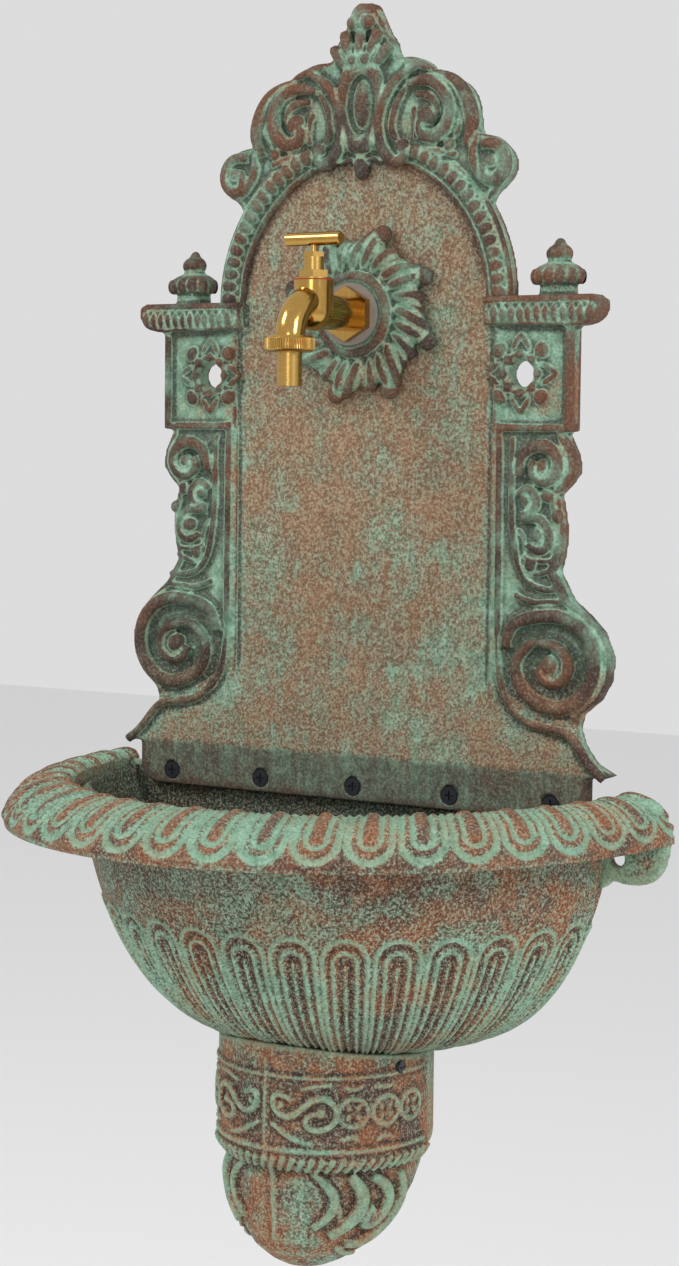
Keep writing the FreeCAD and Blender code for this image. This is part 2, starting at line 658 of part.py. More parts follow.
def washer_nut():
    nut = hexagon(WASHER_NUT_R, 0, STEM_Y, SEAT_Z - WASHER_NUT_H, SEAT_Z)
    return nut.cut(rod(JUMPER_PIN_R + THREAD_GAP, 0, STEM_Y, 0, SEAT_Z + 1))


def spindle():
    thread_end = SPINDLE_FOOT + SPINDLE_THREAD_L
    body = fuse([rod(SPINDLE_THREAD_R, 0, STEM_Y, SPINDLE_FOOT, thread_end),
                 rod(SPINDLE_R, 0, STEM_Y, thread_end, BAR_BOTTOM),
                 rod(SPINDLE_TOP_R, 0, STEM_Y, BAR_BOTTOM, BAR_Z + 2)])
    socket_top = SPINDLE_FOOT + JUMPER_STEM_L + 0.5
    return body.cut(rod(JUMPER_STEM_R + RUN_GAP, 0, STEM_Y, SPINDLE_FOOT - 1, socket_top))


def handle_bar():
    bar = Part.makeCylinder(BAR_R, BAR_L, V(-BAR_L / 2, STEM_Y, BAR_Z), V(1, 0, 0))
    ends = [e for e in bar.Edges if e.BoundBox.XLength < 0.01 and e.BoundBox.YLength > 1]
    bar = bar.makeChamfer(0.6, ends)
    return bar.cut(rod(SPINDLE_TOP_R + PRESS_GAP, 0, STEM_Y, BAR_BOTTOM - 1, BAR_Z + 2))


def union_nut():
    top = UNION_NUT_BOTTOM + UNION_NUT_H
    body = rod(UNION_NUT_R, 0, SPOUT_Y, UNION_NUT_BOTTOM, top)
    thread = rod(OUTLET_R + THREAD_GAP, 0, SPOUT_Y, UNION_NUT_BOTTOM + UNION_SHOULDER, top + 1)
    hole = rod(HOSE_TAIL_NECK_R + RUN_GAP, 0, SPOUT_Y, UNION_NUT_BOTTOM - 1, top)
    return cut(body, [thread, hole])


def hose_tail():
    bottom = UNION_NUT_BOTTOM - HOSE_TAIL_L
    flange = rod(OUTLET_R - 0.3, 0, SPOUT_Y, TAIL_FLANGE_BOTTOM, UNION_SEAL_BOTTOM)
    neck = rod(HOSE_TAIL_NECK_R, 0, SPOUT_Y, UNION_NUT_BOTTOM - 0.5, TAIL_FLANGE_BOTTOM)
    tube = rod(HOSE_TAIL_R, 0, SPOUT_Y, bottom, UNION_NUT_BOTTOM - 0.5)
    return fuse([flange, neck, tube]).cut(rod(HOSE_TAIL_BORE, 0, SPOUT_Y, bottom - 1, OUTLET_Z))


def union_seal():
    return washer(OUTLET_R - 0.3, HOSE_TAIL_BORE, 0, SPOUT_Y, UNION_SEAL_BOTTOM, OUTLET_Z)


# ---------------------------------------------------------------- one file for each node
NODES = [back_plate, basin, corbel, strip_screws, corbel_set_screws,
         waste_strainer, waste_washer, waste_lower_washer, waste_nut,
         tap_body, tap_washer, back_washer, back_nut, bonnet_gasket, bonnet, gland_packing, gland_nut,
         jumper, valve_washer, washer_nut, spindle, handle_bar, union_nut, hose_tail, union_seal]

for make in NODES:
    shape = make()
    shape.exportStep("parts/" + make.__name__ + ".step")
    b = shape.BoundBox
    print(f"{make.__name__:20s} solids {len(shape.Solids)} valid {shape.isValid()} "
          f"volume {shape.Volume:10.0f} x {b.XMin:.1f} {b.XMax:.1f} "
          f"y {b.YMin:.1f} {b.YMax:.1f} z {b.ZMin:.1f} {b.ZMax:.1f}")
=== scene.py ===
import json
import math
import random

import bpy
import numpy as np
from mathutils import Matrix, Vector


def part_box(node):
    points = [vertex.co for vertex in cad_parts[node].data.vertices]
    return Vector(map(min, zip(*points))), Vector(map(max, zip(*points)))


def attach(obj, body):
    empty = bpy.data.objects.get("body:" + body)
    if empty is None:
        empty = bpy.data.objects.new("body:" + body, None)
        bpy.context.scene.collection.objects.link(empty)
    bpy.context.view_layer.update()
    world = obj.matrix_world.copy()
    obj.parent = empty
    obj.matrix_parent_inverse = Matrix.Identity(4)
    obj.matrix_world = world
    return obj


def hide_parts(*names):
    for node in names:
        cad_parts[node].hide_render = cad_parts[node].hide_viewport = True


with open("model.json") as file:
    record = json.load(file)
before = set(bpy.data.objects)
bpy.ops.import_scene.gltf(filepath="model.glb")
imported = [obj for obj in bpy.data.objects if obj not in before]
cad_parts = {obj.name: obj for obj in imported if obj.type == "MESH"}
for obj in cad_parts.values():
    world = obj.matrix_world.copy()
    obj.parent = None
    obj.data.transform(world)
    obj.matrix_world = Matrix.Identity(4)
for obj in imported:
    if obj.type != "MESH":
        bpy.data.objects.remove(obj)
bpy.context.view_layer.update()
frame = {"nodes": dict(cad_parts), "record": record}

# Wall fountain: cast back plate, basin and corbel in weathered verdigris paint, with a brass bib tap.
# Lengths in the tables below are millimetres in the part's frame: x right, y into the wall, z up.
MM = 0.001
random.seed(7)


def low(node):
    return [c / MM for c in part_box(node)[0]]


def high(node):
    return [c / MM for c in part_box(node)[1]]


# levels read from the frame
STRIP_BOTTOM = low("back_plate")[2]
TAP_Z = (low("tap_washer")[2] + high("tap_washer")[2]) / 2
SPOUT_Y = (low("hose_tail")[1] + high("hose_tail")[1]) / 2
FLANGE_TOP = high("basin")[2]
CORBEL_BOTTOM = low("corbel")[2]

# castings
PANEL_FRONT = -7.5
BLOCK_FRONT = -10.0
ARCH_Z = 45.0
ARCH_R = 104.5
HOLE_X = 112.0
HOLE_R = 8.0
CREASE_Z = -235.0
STRIP_FRONT = -14.2


# ---------------------------------------------------------------- modelling helpers
def nothing_selected():
    bpy.ops.object.select_all(action="DESELECT")


def current():
    return bpy.context.view_layer.objects.active


def edit(*steps):
    """Runs mesh operators on the whole of the current piece."""
    bpy.ops.object.mode_set(mode="EDIT")
    bpy.ops.mesh.select_all(action="SELECT")
    for step in steps:
        step()
    bpy.ops.object.mode_set(mode="OBJECT")


def modify(piece, kind, **values):
    nothing_selected()
    piece.select_set(True)
    bpy.context.view_layer.objects.active = piece
    modifier = piece.modifiers.new(kind.title(), kind)
    for name, value in values.items():
        setattr(modifier, name, value)
    bpy.ops.object.modifier_apply(modifier=modifier.name)
    return piece


def settled(piece, name=None):
    """Puts the piece's place into its mesh."""
    nothing_selected()
    piece.select_set(True)
    bpy.context.view_layer.objects.active = piece
    bpy.ops.object.transform_apply(location=True, rotation=True, scale=True)
    if name:
        piece.name = name
        piece.data.name = name
    return piece


def joined(parts, name):
    nothing_selected()
    for part in parts:
        part.select_set(True)
    bpy.context.view_layer.objects.active = parts[0]
    if len(parts) > 1:
        bpy.ops.object.join()
    return settled(current(), name)


def ball(x, y, z, r, stretch=(1, 1, 1), segments=16):
    nothing_selected()
    bpy.ops.mesh.primitive_uv_sphere_add(segments=segments, ring_count=segments // 2, radius=r * MM,
                                         location=(x * MM, y * MM, z * MM), scale=stretch)
    return current()


def post(x, y, z, r, length, axis="Z", sides=48, tip=None):
    """Cylinder or cone centred at the point, along an axis; tip is its other radius."""
    turn = {"Z": (0, 0, 0), "Y": (math.pi / 2, 0, 0), "X": (0, math.pi / 2, 0)}[axis]
    nothing_selected()
    bpy.ops.mesh.primitive_cone_add(vertices=sides, radius1=r * MM, radius2=(r if tip is None else tip) * MM,
                                    depth=length * MM, location=(x * MM, y * MM, z * MM), rotation=turn)
    return current()


def hoop(x, y, z, r, wire, axis="Y", stretch=1.0):
    turn = {"Z": (0, 0, 0), "Y": (math.pi / 2, 0, 0), "X": (0, math.pi / 2, 0)}[axis]
    nothing_selected()
    bpy.ops.mesh.primitive_torus_add(major_radius=r * MM, minor_radius=wire * MM, major_segments=64,
                                     minor_segments=10,
                                     location=(x * MM, y * MM, z * MM), rotation=turn)
    current().scale = (1, stretch, 1)
    return current()


def block(x0, x1, y0, y1, z0, z1):
    nothing_selected()
    bpy.ops.mesh.primitive_cube_add(size=1, location=((x0 + x1) / 2 * MM, (y0 + y1) / 2 * MM, (z0 + z1) / 2 * MM),
                                    scale=((x1 - x0) * MM, (y1 - y0) * MM, (z1 - z0) * MM))
    return current()


def slab(outline, back, front):
    """Plate with this outline in x and z, from its back plane to its front plane."""
    nothing_selected()
    bpy.ops.mesh.primitive_circle_add(vertices=len(outline), radius=1, fill_type="NGON")
    piece = current()
    for vertex, (x, z) in zip(piece.data.vertices, outline):
        vertex.co = (x * MM, back * MM, z * MM)
    push = {"value": (0, (front - back) * MM, 0)}
    edit(lambda: bpy.ops.mesh.extrude_region_move(TRANSFORM_OT_translate=push),
         lambda: bpy.ops.mesh.select_all(action="SELECT"),
         lambda: bpy.ops.mesh.normals_make_consistent(inside=False))
    return piece


def ridge(points, r, swell=0.5, closed=False):
    """Raised bead along a smooth line, thick in the middle and down to a share of its radius at the ends."""
    nothing_selected()
    bpy.ops.curve.primitive_nurbs_path_add()
    path = current()
    curve = path.data
    curve.splines.clear()
    spline = curve.splines.new("NURBS")
    spline.points.add(len(points) - 1)
    last = max(len(points) - 1, 1)
    for i, (point, target) in enumerate(zip(points, spline.points)):
        target.co = (point[0] * MM, point[1] * MM, point[2] * MM, 1)
        target.radius = 1.0 if closed else swell + (1 - swell) * abs(math.sin(math.pi * i / last)) ** 0.6
    spline.use_cyclic_u = closed
    spline.order_u = 3
    spline.use_endpoint_u = not closed
    curve.resolution_u = 4
    curve.bevel_depth = r * MM
    curve.bevel_resolution = 2
    curve.use_fill_caps = True
    bpy.ops.object.convert(target="MESH")
    return current()


def coil(x, z, r_out, r_in, start, turns, count=None):
    """Points of a flat spiral in x and z; angles in degrees, counted from +x towards +z."""
    count = count or max(int(abs(turns) * 14), 5)
    points = []
    for i in range(count):
        t = i / (count - 1)
        r = r_out * (r_in / r_out) ** t
        a = math.radians(start + 360 * turns * t)
        points.append((x + r * math.cos(a), z + r * math.sin(a)))
    return points


def on_plate(points, y):
    return [(x, y, z) for x, z in points]


def soft(points, per_side=5):
    """Rounded outline through its points."""
    out = []
    n = len(points)
    for i in range(n):
        a, b, c, d = (np.array(points[(i + k) % n], float) for k in (-1, 0, 1, 2))
        for step in range(per_side):
            t = step / per_side
            out.append(tuple(0.5 * (2 * b + (c - a) * t + (2 * a - 5 * b + 4 * c - d) * t ** 2 + (3 * b - a - 3 * c + d) * t ** 3)))
    return out


def mirrored(piece):
    return modify(piece, "MIRROR", use_axis=(True, False, False), use_mirror_merge=False)


def drilled(piece, tool):
    """Cuts the tool out of the piece."""
    modify(piece, "BOOLEAN", operation="DIFFERENCE", object=tool, solver="EXACT")
    bpy.data.objects.remove(tool)
    return piece


def cast(piece, grain, limit=185000, rounds=2):
    """Melts the joined ornament into one skin with soft inner corners, as a sand casting has."""
    grain = grain * 1.0
    modify(piece, "REMESH", mode="VOXEL", voxel_size=grain * MM)
    modify(piece, "SMOOTH", factor=0.5, iterations=rounds)
    triangles = 2 * len(piece.data.polygons)
    if triangles > limit:
        modify(piece, "DECIMATE", ratio=limit / triangles)
    return piece


def edges_of(mesh):
    pairs = np.zeros(len(mesh.edges) * 2, np.int64)
    mesh.edges.foreach_get("vertices", pairs)
    return pairs.reshape(-1, 2)


def spread(values, pairs, rounds):
    """Averages a value over its neighbours, several times."""
    count = np.bincount(pairs.ravel(), minlength=len(values)).astype(float)
    count[count == 0] = 1
    for _ in range(rounds):
        total = np.bincount(pairs[:, 0], values[pairs[:, 1]], len(values))
        total += np.bincount(pairs[:, 1], values[pairs[:, 0]], len(values))
        values = 0.5 * values + 0.5 * total / count
    return values


def relief_marked(piece):
    """Stores how far each point stands proud of, or lies below, the surface around it: attribute relief, 0 to 1."""
    mesh = piece.data
    spots = np.zeros(len(mesh.vertices) * 3)
    mesh.vertices.foreach_get("co", spots)
    spots = spots.reshape(-1, 3)
    normals = np.zeros(len(mesh.vertices) * 3)
    mesh.vertices.foreach_get("normal", normals)
    normals = normals.reshape(-1, 3)
    pairs = edges_of(mesh)
    smooth = np.stack([spread(spots[:, k], pairs, 60) for k in range(3)], 1)
    proud = ((spots - smooth) * normals).sum(1) / MM
    near = np.stack([spread(spots[:, k], pairs, 12) for k in range(3)], 1)
    edge = ((spots - near) * normals).sum(1) / MM
    relief = np.clip(0.5 + 0.22 * spread(proud, pairs, 2) + 0.7 * spread(edge, pairs, 1), 0, 1)
    # The relief mark sets the rubbed ridges and the dark hollows of the finishes; the hollows' darkness is partly
    # painted shade.
    put_mark(mesh, "relief", relief)
    for polygon in mesh.polygons:
        polygon.use_smooth = True
    return piece


def put_mark(mesh, name, values):
    layer = mesh.attributes.new(name, "FLOAT", "POINT")
    layer.data.foreach_set("value", np.asarray(values, np.float32).ravel())


def places(piece):
    """Vertex places in mm as three arrays."""
    spots = np.zeros(len(piece.data.vertices) * 3)
    piece.data.vertices.foreach_get("co", spots)
    return spots.reshape(-1, 3).T / MM


def ramp(values, start, end):
    """0 before start, 1 after end, smooth in between."""
    t = np.clip((values - start) / (end - start), 0, 1)
    return t * t * (3 - 2 * t)


# ---------------------------------------------------------------- shader maths
class Value:
    """A shader socket that takes part in arithmetic."""

    def __init__(self, finish, socket):
        self.finish = finish
        self.socket = socket

    def _math(self, operation, left, right=0.0, clamp=False):
        return self.finish.node("ShaderNodeMath", {"operation": operation, "use_clamp": clamp}, {0: left, 1: right})

    def __add__(self, other):
        return self._math("ADD", self, other)

    def __sub__(self, other):
        return self._math("SUBTRACT", self, other)

    def __rsub__(self, other):
        return self._math("SUBTRACT", other, self)

    def __mul__(self, other):
        return self._math("MULTIPLY", self, other)

    __radd__ = __add__
    __rmul__ = __mul__

    def clamped(self):
        return self._math("ADD", self, 0.0, clamp=True)

    def between(self, start, end):
        """0 below start, 1 above end, smooth in between."""
        return self.finish.node("ShaderNodeMapRange", {"interpolation_type": "SMOOTHSTEP"},
                                {"Value": self, "From Min": start, "From Max": end})


class Finish:
    """A material with one principled shader; fixed values are set on the shader's own sockets."""

    def __init__(self, name, **fixed):
        self.material = bpy.data.materials.new(name)
        self.material.use_nodes = True
        self.tree = self.material.node_tree
        self.shader = self.tree.nodes["Principled BSDF"]
        for socket, value in fixed.items():
            self.shader.inputs[socket.replace("_", " ")].default_value = value
        self.spot = self.node("ShaderNodeTexCoord", {}, {}, "Object")

    def node(self, kind, settings, sockets, out=0):
        made = self.tree.nodes.new(kind)
        for name, value in settings.items():
            if name == "stops":
                ramp = made.color_ramp.elements
                for i, (place, colour) in enumerate(value):
                    stop = ramp[i] if i < 2 else ramp.new(place)
                    stop.position, stop.color = place, colour
            else:
                setattr(made, name, value)
        for name, value in sockets.items():
            if isinstance(value, Value):
                self.tree.links.new(value.socket, made.inputs[name])
            else:
                made.inputs[name].default_value = value
        return Value(self, made.outputs[out])

    def noise(self, size, detail=2.0, rough=0.5, at=None, warp=0.0):
        """Soft noise whose features are about this many millimetres across."""
        return self.node("ShaderNodeTexNoise", {}, {"Vector": at or self.spot, "Scale": 1000.0 / size,
                                                    "Detail": detail,
                                                    "Roughness": rough, "Distortion": warp})

    def stretched(self, x, y, z):
        return self.node("ShaderNodeMapping", {}, {"Vector": self.spot, "Scale": (x, y, z)})

    def mix(self, share, low_colour, high_colour):
        colours = {6: low_colour, 7: high_colour}
        return self.node("ShaderNodeMix", {"data_type": "RGBA"}, {0: share, **colours}, 2)

    def mark(self, name):
        return self.node("ShaderNodeAttribute", {"attribute_name": name}, {}, "Fac")

    def bump(self, height, strength, depth, under=None):
        sockets = {"Height": height, "Strength": strength, "Distance": depth * MM}
        if under:
            sockets["Normal"] = under
        return self.node("ShaderNodeBump", {}, sockets)

    def feed(self, **outputs):
        for name, value in outputs.items():
            self.tree.links.new(value.socket, self.shader.inputs[name.replace("_", " ")])
        return self.material


def tint(code, alpha=1.0):
    """Linear colour from a hex code."""
    parts = [int(code[i:i + 2], 16) / 255 for i in (0, 2, 4)]
    return tuple(c / 12.92 if c <= 0.04045 else ((c + 0.055) / 1.055) ** 2.4 for c in parts) + (alpha,)


def patina(name, rust=0.0, on_ridges=0.6, ridge=("5B4238", 0.5, "5B4238"), field=("2F3B30", 0.0), field_rust=0.0,
           hollow=(0.05, 0.32), grit=(0.35, 0.25)):
    """Dry verdigris paint rubbed back to rust, with dark crevices (partly the casting's own dark patina, partly
    painted shade) and a sandy speckle all over.

    relief marks ridges (1) and hollows (0), field a region of its own (on the basin, the inside of the bowl, laid
    over with painted shade), and the stain mark rust (above 0) or soot, with painted shade on the bowl's underside
    (below 0)."""
    f = Finish(name, Specular_IOR_Level=0.3)
    relief, region, stain_and_shade = f.mark("relief"), f.mark("field"), f.mark("stain_and_shade")
    patches = f.noise(95, 3, 0.6, warp=0.6)
    blots = f.noise(26, 4, 0.62)
    flecks = f.noise(7, 3, 0.6)
    grain = f.noise(1.7, 2, 0.75)
    dust = f.noise(1.1, 1, 0.6, at=f.stretched(1.0, 1.0, 0.8))
    brush = f.noise(7, 4, 0.7, at=f.stretched(1.0, 1.0, 0.22))
    wear = patches * 0.55 + blots * 0.6 + flecks * 0.3 + (relief - 0.5) * on_ridges + region * field_rust + stain_and_shade.clamped() * 0.7
    sand = (region * grit[1] + grit[0]) * (1 - relief.between(0.6, 0.8) * 0.45)
    rusted = (wear + (brush - 0.5) * 0.5 + (grain - 0.5) * sand).between(0.64 - rust, 1.04 - rust)
    green = f.mix(flecks.between(0.35, 0.68), tint("668B74"), tint("92BBA2"))
    green = f.mix(blots.between(0.42, 0.68) * 0.55, green, tint("8A9A7C"))
    brown = f.mix(blots.between(0.40, 0.60), tint("553C33"), tint("8C5637"))
    brown = f.mix(region * field_rust * 3.0, brown, tint("957A5E"))
    brown = f.mix((1 - patches.between(0.42, 0.60)) * 0.4, brown, tint("7A6450"))
    colour = f.mix(rusted, green, brown)
    rubbed = f.mix(patches.between(0.40, 0.60), tint(ridge[0]), tint(ridge[2]))
    worn = relief.between(0.56, 0.76) * ridge[1] * (blots.between(0.34, 0.58) * 0.65 + 0.35)
    colour = f.mix(worn, colour, rubbed)
    # Darker in the hollows: partly the dark patina the casting has in its crevices, partly painted shade.
    colour = f.mix((1 - relief.between(*hollow)) * 0.8, colour, tint("2E2623"))
    # Field colour over the field region; on the basin this is a near-black painted shade inside the bowl and on its
    # back wall.
    colour = f.mix(region * field[1], colour, tint(field[0]))
    # Below zero the stain mark darkens towards 4E433A: soot on the plate's strip and on a patch of the bowl, and
    # painted shade on the bowl's underside.
    colour = f.mix((stain_and_shade * -1).clamped() * (brush.between(0.3, 0.65) * 0.4 + 0.5), colour, tint("4E433A"))
    colour = f.mix(grain.between(0.52, 0.58) * sand * 0.75, colour, tint("332B26"))
    colour = f.mix((1 - grain.between(0.40, 0.47)) * sand * 0.5, colour, tint("B2C4AA"))
    colour = f.mix(dust.between(0.58, 0.68) * sand * 0.45, colour, tint("C9B298"))
    rough = 0.6 + rusted * 0.2 + (grain - 0.5) * 0.25
    fine = f.bump(grain, 0.55, 0.5)
    coarse = f.bump(blots * 0.5 + flecks * 0.5, 0.4, 1.4, under=fine)
    return f.feed(Base_Color=colour, Roughness=rough.clamped(), Normal=coarse)


def polished_brass():
    f = Finish("polished_brass", Metallic=1.0, Coat_Roughness=0.1)
    smear = f.noise(14, 3, 0.6)
    scratch = f.noise(1.2, 2, 0.6, at=f.stretched(1.0, 1.0, 0.15))
    colour = f.mix(smear, tint("CFA75C"), tint("AE8442"))
    colour = f.mix(scratch.between(0.55, 0.75) * 0.25, colour, tint("F0D596"))
    return f.feed(Base_Color=colour, Roughness=(0.07 + smear * 0.1 + scratch * 0.05).clamped(),
                  Normal=f.bump(scratch, 0.08, 0.1))


def brushed_brass():
    """Turned and knurled brass, duller than the castings' polish."""
    f = Finish("turned_brass", Metallic=1.0)
    rings = f.noise(0.7, 2, 0.6, at=f.stretched(0.05, 0.05, 1.0))
    colour = f.mix(rings, tint("CDA961"), tint("A98246"))
    return f.feed(Base_Color=colour, Roughness=(0.22 + rings * 0.14).clamped(), Normal=f.bump(rings, 0.12, 0.15))


def plain(name, dark, light, rough, size=3.0):
    """Matt part with a slight mottle, for screws, washers and seals."""
    f = Finish(name)
    mottle = f.noise(size, 3, 0.6)
    return f.feed(Base_Color=f.mix(mottle, tint(dark), tint(light)), Roughness=(mottle * 0.2 + rough).clamped(),
                  Normal=f.bump(mottle, 0.2, 0.2))


CASTING = patina("verdigris_casting", rust=0.0, on_ridges=0.35, ridge=("3A2B28", 0.95, "61402F"),
                 field_rust=0.24, hollow=(0.1, 0.36))
# The basin's field colour is painted shade: the inside of the bowl and its back wall are laid near black.
BASIN_SKIN = patina("verdigris_basin", rust=0.14, on_ridges=-0.9, ridge=("83A88F", 0.7, "93A184"),
                    field=("27312A", 0.85),
                    hollow=(0.1, 0.4), grit=(0.8, 0.0))
RIM_SKIN = patina("verdigris_rim", rust=0.2, on_ridges=-0.9, ridge=("80A68D", 0.7, "93967A"), hollow=(-0.1,
    0.26), grit=(0.6, 0.0))
CORBEL_SKIN = patina("verdigris_corbel", rust=0.2, on_ridges=-0.5, ridge=("80A68D", 0.6, "93896B"),
                     hollow=(0.12, 0.44), grit=(0.6, 0.0))
BRASS = polished_brass()
TURNED = brushed_brass()
SCREW_BLACK = plain("blackened_steel", "14171C", "262B33", 0.35)
RUBBER = plain("black_rubber", "0E0E0E", "1A1A1A", 0.7)
FIBRE_GREY = plain("grey_fibre", "77706A", "93897F", 0.75)
FIBRE_RED = plain("red_fibre", "7A2415", "A23A20", 0.7)
PACKING = plain("white_packing", "D8D6D0", "ECEAE4", 0.6)


def dressed(piece, material, node, body="fountain"):
    piece.data.materials.clear()
    piece.data.materials.append(material)
    for polygon in piece.data.polygons:
        polygon.material_index = 0
    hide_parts(node)
    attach(piece, body)
    return piece


# ---------------------------------------------------------------- back plate
def arc(r, start, end, count, x=0.0, z=ARCH_Z):
    """Points on a circle in x and z; angles in degrees from +x towards +z."""
    return [(x + r * math.cos(math.radians(start + (end - start) * i / (count - 1))),
             z + r * math.sin(math.radians(start + (end - start) * i / (count - 1)))) for i in range(count)]


def crest_ground():
    outer = [(8, 222), (12, 213), (15, 207), (20, 201), (23, 192), (35, 191), (44, 187), (50, 181), (61, 178),
             (71, 172),
             (77, 163), (79, 151), (81, 143), (90, 141), (98, 135), (103, 127), (102, 118), (96, 112), (89, 108)]
    outline = [(-2, 225)] + soft(outer, 3)[:-6] + [(90, 106)] + arc(ARCH_R, 33, 0, 12) + arc(88, 0, 91, 24)
    return slab(outline, 0, -10)


def crest_scrolls():
    """Right half of the crest: scrolls, leaves, shell and drop."""
    parts = []
    lines = (
        (4.6, -12.5, [(38, 185), (25, 179), (16, 166), (12, 151), (14, 139), (20, 131), (27, 128), (32, 133),
                      (29, 139)]),
        (3.0, -11.0, [(34, 177), (25, 166), (21, 152), (23, 143), (28, 140)]),
        (5.2, -13.0, [(33, 174), (45, 178), (58, 171), (64, 160), (62, 149), (54, 142), (45, 143), (42, 151),
                      (48, 156)]),
        (3.4, -12.0, [(38, 168), (47, 168), (54, 162), (54, 154)]),
        (3.0, -11.0, [(36, 160), (40, 150), (38, 142)]),
        (5.0, -11.5, [(50, 180), (62, 177), (72, 167), (77, 154), (77, 144), (73, 136)]),
        (3.2, -11.0, [(66, 168), (70, 158), (69, 148), (65, 141)]),
        (3.6, -11.0, [(30, 187), (40, 187), (50, 182)]),
        (3.4, -11.0, [(34, 136), (44, 135), (56, 133), (66, 131)]),
        (3.6, -11.0, [(80, 142), (77, 133), (80, 122), (88, 113), (96, 112)]),
        (5.0, -11.5, [(84, 136), (92, 137), (99, 131), (100, 121), (94, 115), (87, 117), (87, 125), (92, 127)]),
        (3.0, -11.0, [(56, 128), (66, 124), (74, 117)]),
    )
    for r, y, points in lines:
        parts.append(ridge(on_plate(points, y), r))
    for x, z, r in ((30, 137, 5.0), (47, 154, 6.5), (92, 125, 4.6), (62, 137, 3.8)):
        parts.append(ball(x, -12, z, r, (1, 0.85, 1)))
    for x0, z0, x1, z1, r in ((5, 189, 12, 208, 4.8), (10, 188, 20, 199, 4.4)):
        parts.append(ridge([(x0, -12, z0), ((x0 + x1) / 2 + 1, -15, (z0 + z1) / 2), (x1, -12, z1)], r, 0.8))
    parts.append(ball(4.5, -15, 191, 3.8))
    parts.append(ball(5.0, -14, 213, 4.6))
    parts.append(ridge([(3, -11, 136), (11, -12, 140), (19, -11, 135)], 2.8))
    parts.append(ridge([(3, -11, 129), (9, -12, 133), (15, -11, 128)], 2.4))
    return parts


def crest_middle():
    parts = [hoop(0, -12.5, 164, 14, 3.8, "Y", 1.75), ball(0, -8.5, 164, 7.5, (1, 0.7, 2.2))]
    parts.append(ball(0, -10, 216, 9.0, (1, 0.85, 1.05)))
    parts.append(ball(0, -13, 221, 4.0))
    parts.append(ridge([(0, -12, 189), (0, -16, 200), (0, -13, 209)], 4.6, 0.7))
    parts.append(ball(0, -10, 127, 5.6, (1, 0.9, 1.6)))
    parts.append(ball(0, -11, 140, 3.6))
    return parts


def pearls():
    """Right half of the beaded band that follows the arch."""
    parts = [ridge(on_plate(arc(ARCH_R - 1.8, -2, 52, 24), -9.5), 2.6, 1.0),
             ridge(on_plate(arc(89.0, -2, 66, 24), -8.5), 2.4, 1.0)]
    count = 15
    for x, z in arc(97.0, 2, 66, count):
        parts.append(ball(x, -11.4, z, 5.0, (1.05, 1.0, 1.05), 14))
    return parts


def half_crest():
    return mirrored(joined([crest_ground()] + crest_scrolls() + pearls(), "plate_crest"))


def crest():
    piece = joined([half_crest()] + crest_middle(), "plate_crest")
    return relief_marked(cast(piece, 1.05))


def star(x, z):
    """Pointed rosette round a wall hole."""
    parts = [hoop(x, -11, z, 11.6, 2.0)]
    for i in range(8):
        a = math.radians(45 * i)
        parts.append(ball(x + 11.6 * math.cos(a), -12, z + 11.6 * math.sin(a), 2.9, segments=10))
        reach = 23 if i % 2 == 0 else 19
        if i % 2:
            parts.append(ball(x + reach * math.cos(a), -10.5, z + reach * math.sin(a), 4.8, (1, 0.7, 1)))
        else:
            for side in (-1, 1):
                b = a + side * 0.5
                parts.append(ridge([(x + 14 * math.cos(b), -10.5, z + 14 * math.sin(b)),
                                    (x + 19 * math.cos(a + side * 0.2), -11.5, z + 19 * math.sin(a + side * 0.2)),
                                    (x + reach * math.cos(a), -10.5, z + reach * math.sin(a))], 2.0))
    return parts


def finial(base):
    x = 131.5
    stack = [post(x, 0, base + 2, 12, 5), post(x, 0, base + 6, 8.5, 6), ball(x, 0, base + 12, 16.5, (1, 0.95,
        0.5), 24),
             post(x, 0, base + 19, 8, 8, tip=6.5), ball(x, 0, base + 24.5, 8.8, (1, 0.95, 0.7)), ball(x, 0,
                 base + 30, 3.8, (1, 0.9, 1.1))]
    for i in range(14):
        a = math.pi * (i + 0.5) / 7
        stack.append(ball(x + 15.0 * math.cos(a), 14.5 * math.sin(a), base + 11, 3.3, (1, 1, 1.5), 10))
    return joined(stack, "finial")


def shoulder():
    body = block(93, 147, BLOCK_FRONT, 0, -34, 30)
    drilled(body, post(HOLE_X, -6, 0, HOLE_R, 40, "Y"))
    cap_edge = [(88, 29), (151, 28), (158, 29.5), (163, 33), (165.5, 39), (164.5, 43), (160, 46), (88, 46)]
    parts = [body, slab(cap_edge, 0, -15), block(142, 147, -13, -5, -34, 30), block(97, 147, -12.5, -5, -34, -30)]
    parts += star(HOLE_X, 0)
    count = 12
    for i in range(count):
        parts.append(ball(96 + i * 5.7, -15, 35.5, 3.4, (0.8, 0.8, 1.5), 10))
    parts.append(ridge([(88, -15, 43.5), (130, -15, 43.5), (163, -14, 43)], 2.2, 1.0))
    parts.append(finial(46))
    return parts


def bracket_edge():
    return [(142, -36), (148, -48), (149, -58), (143, -66), (137, -71), (139, -80), (141, -92), (140, -106),
            (137, -117),
            (141, -124), (146, -133), (156, -141), (167, -152), (173, -166), (172, -180), (165, -192), (154,
                -201), (152, -210),
            (156, -221), (164, -230), (176, -236)]


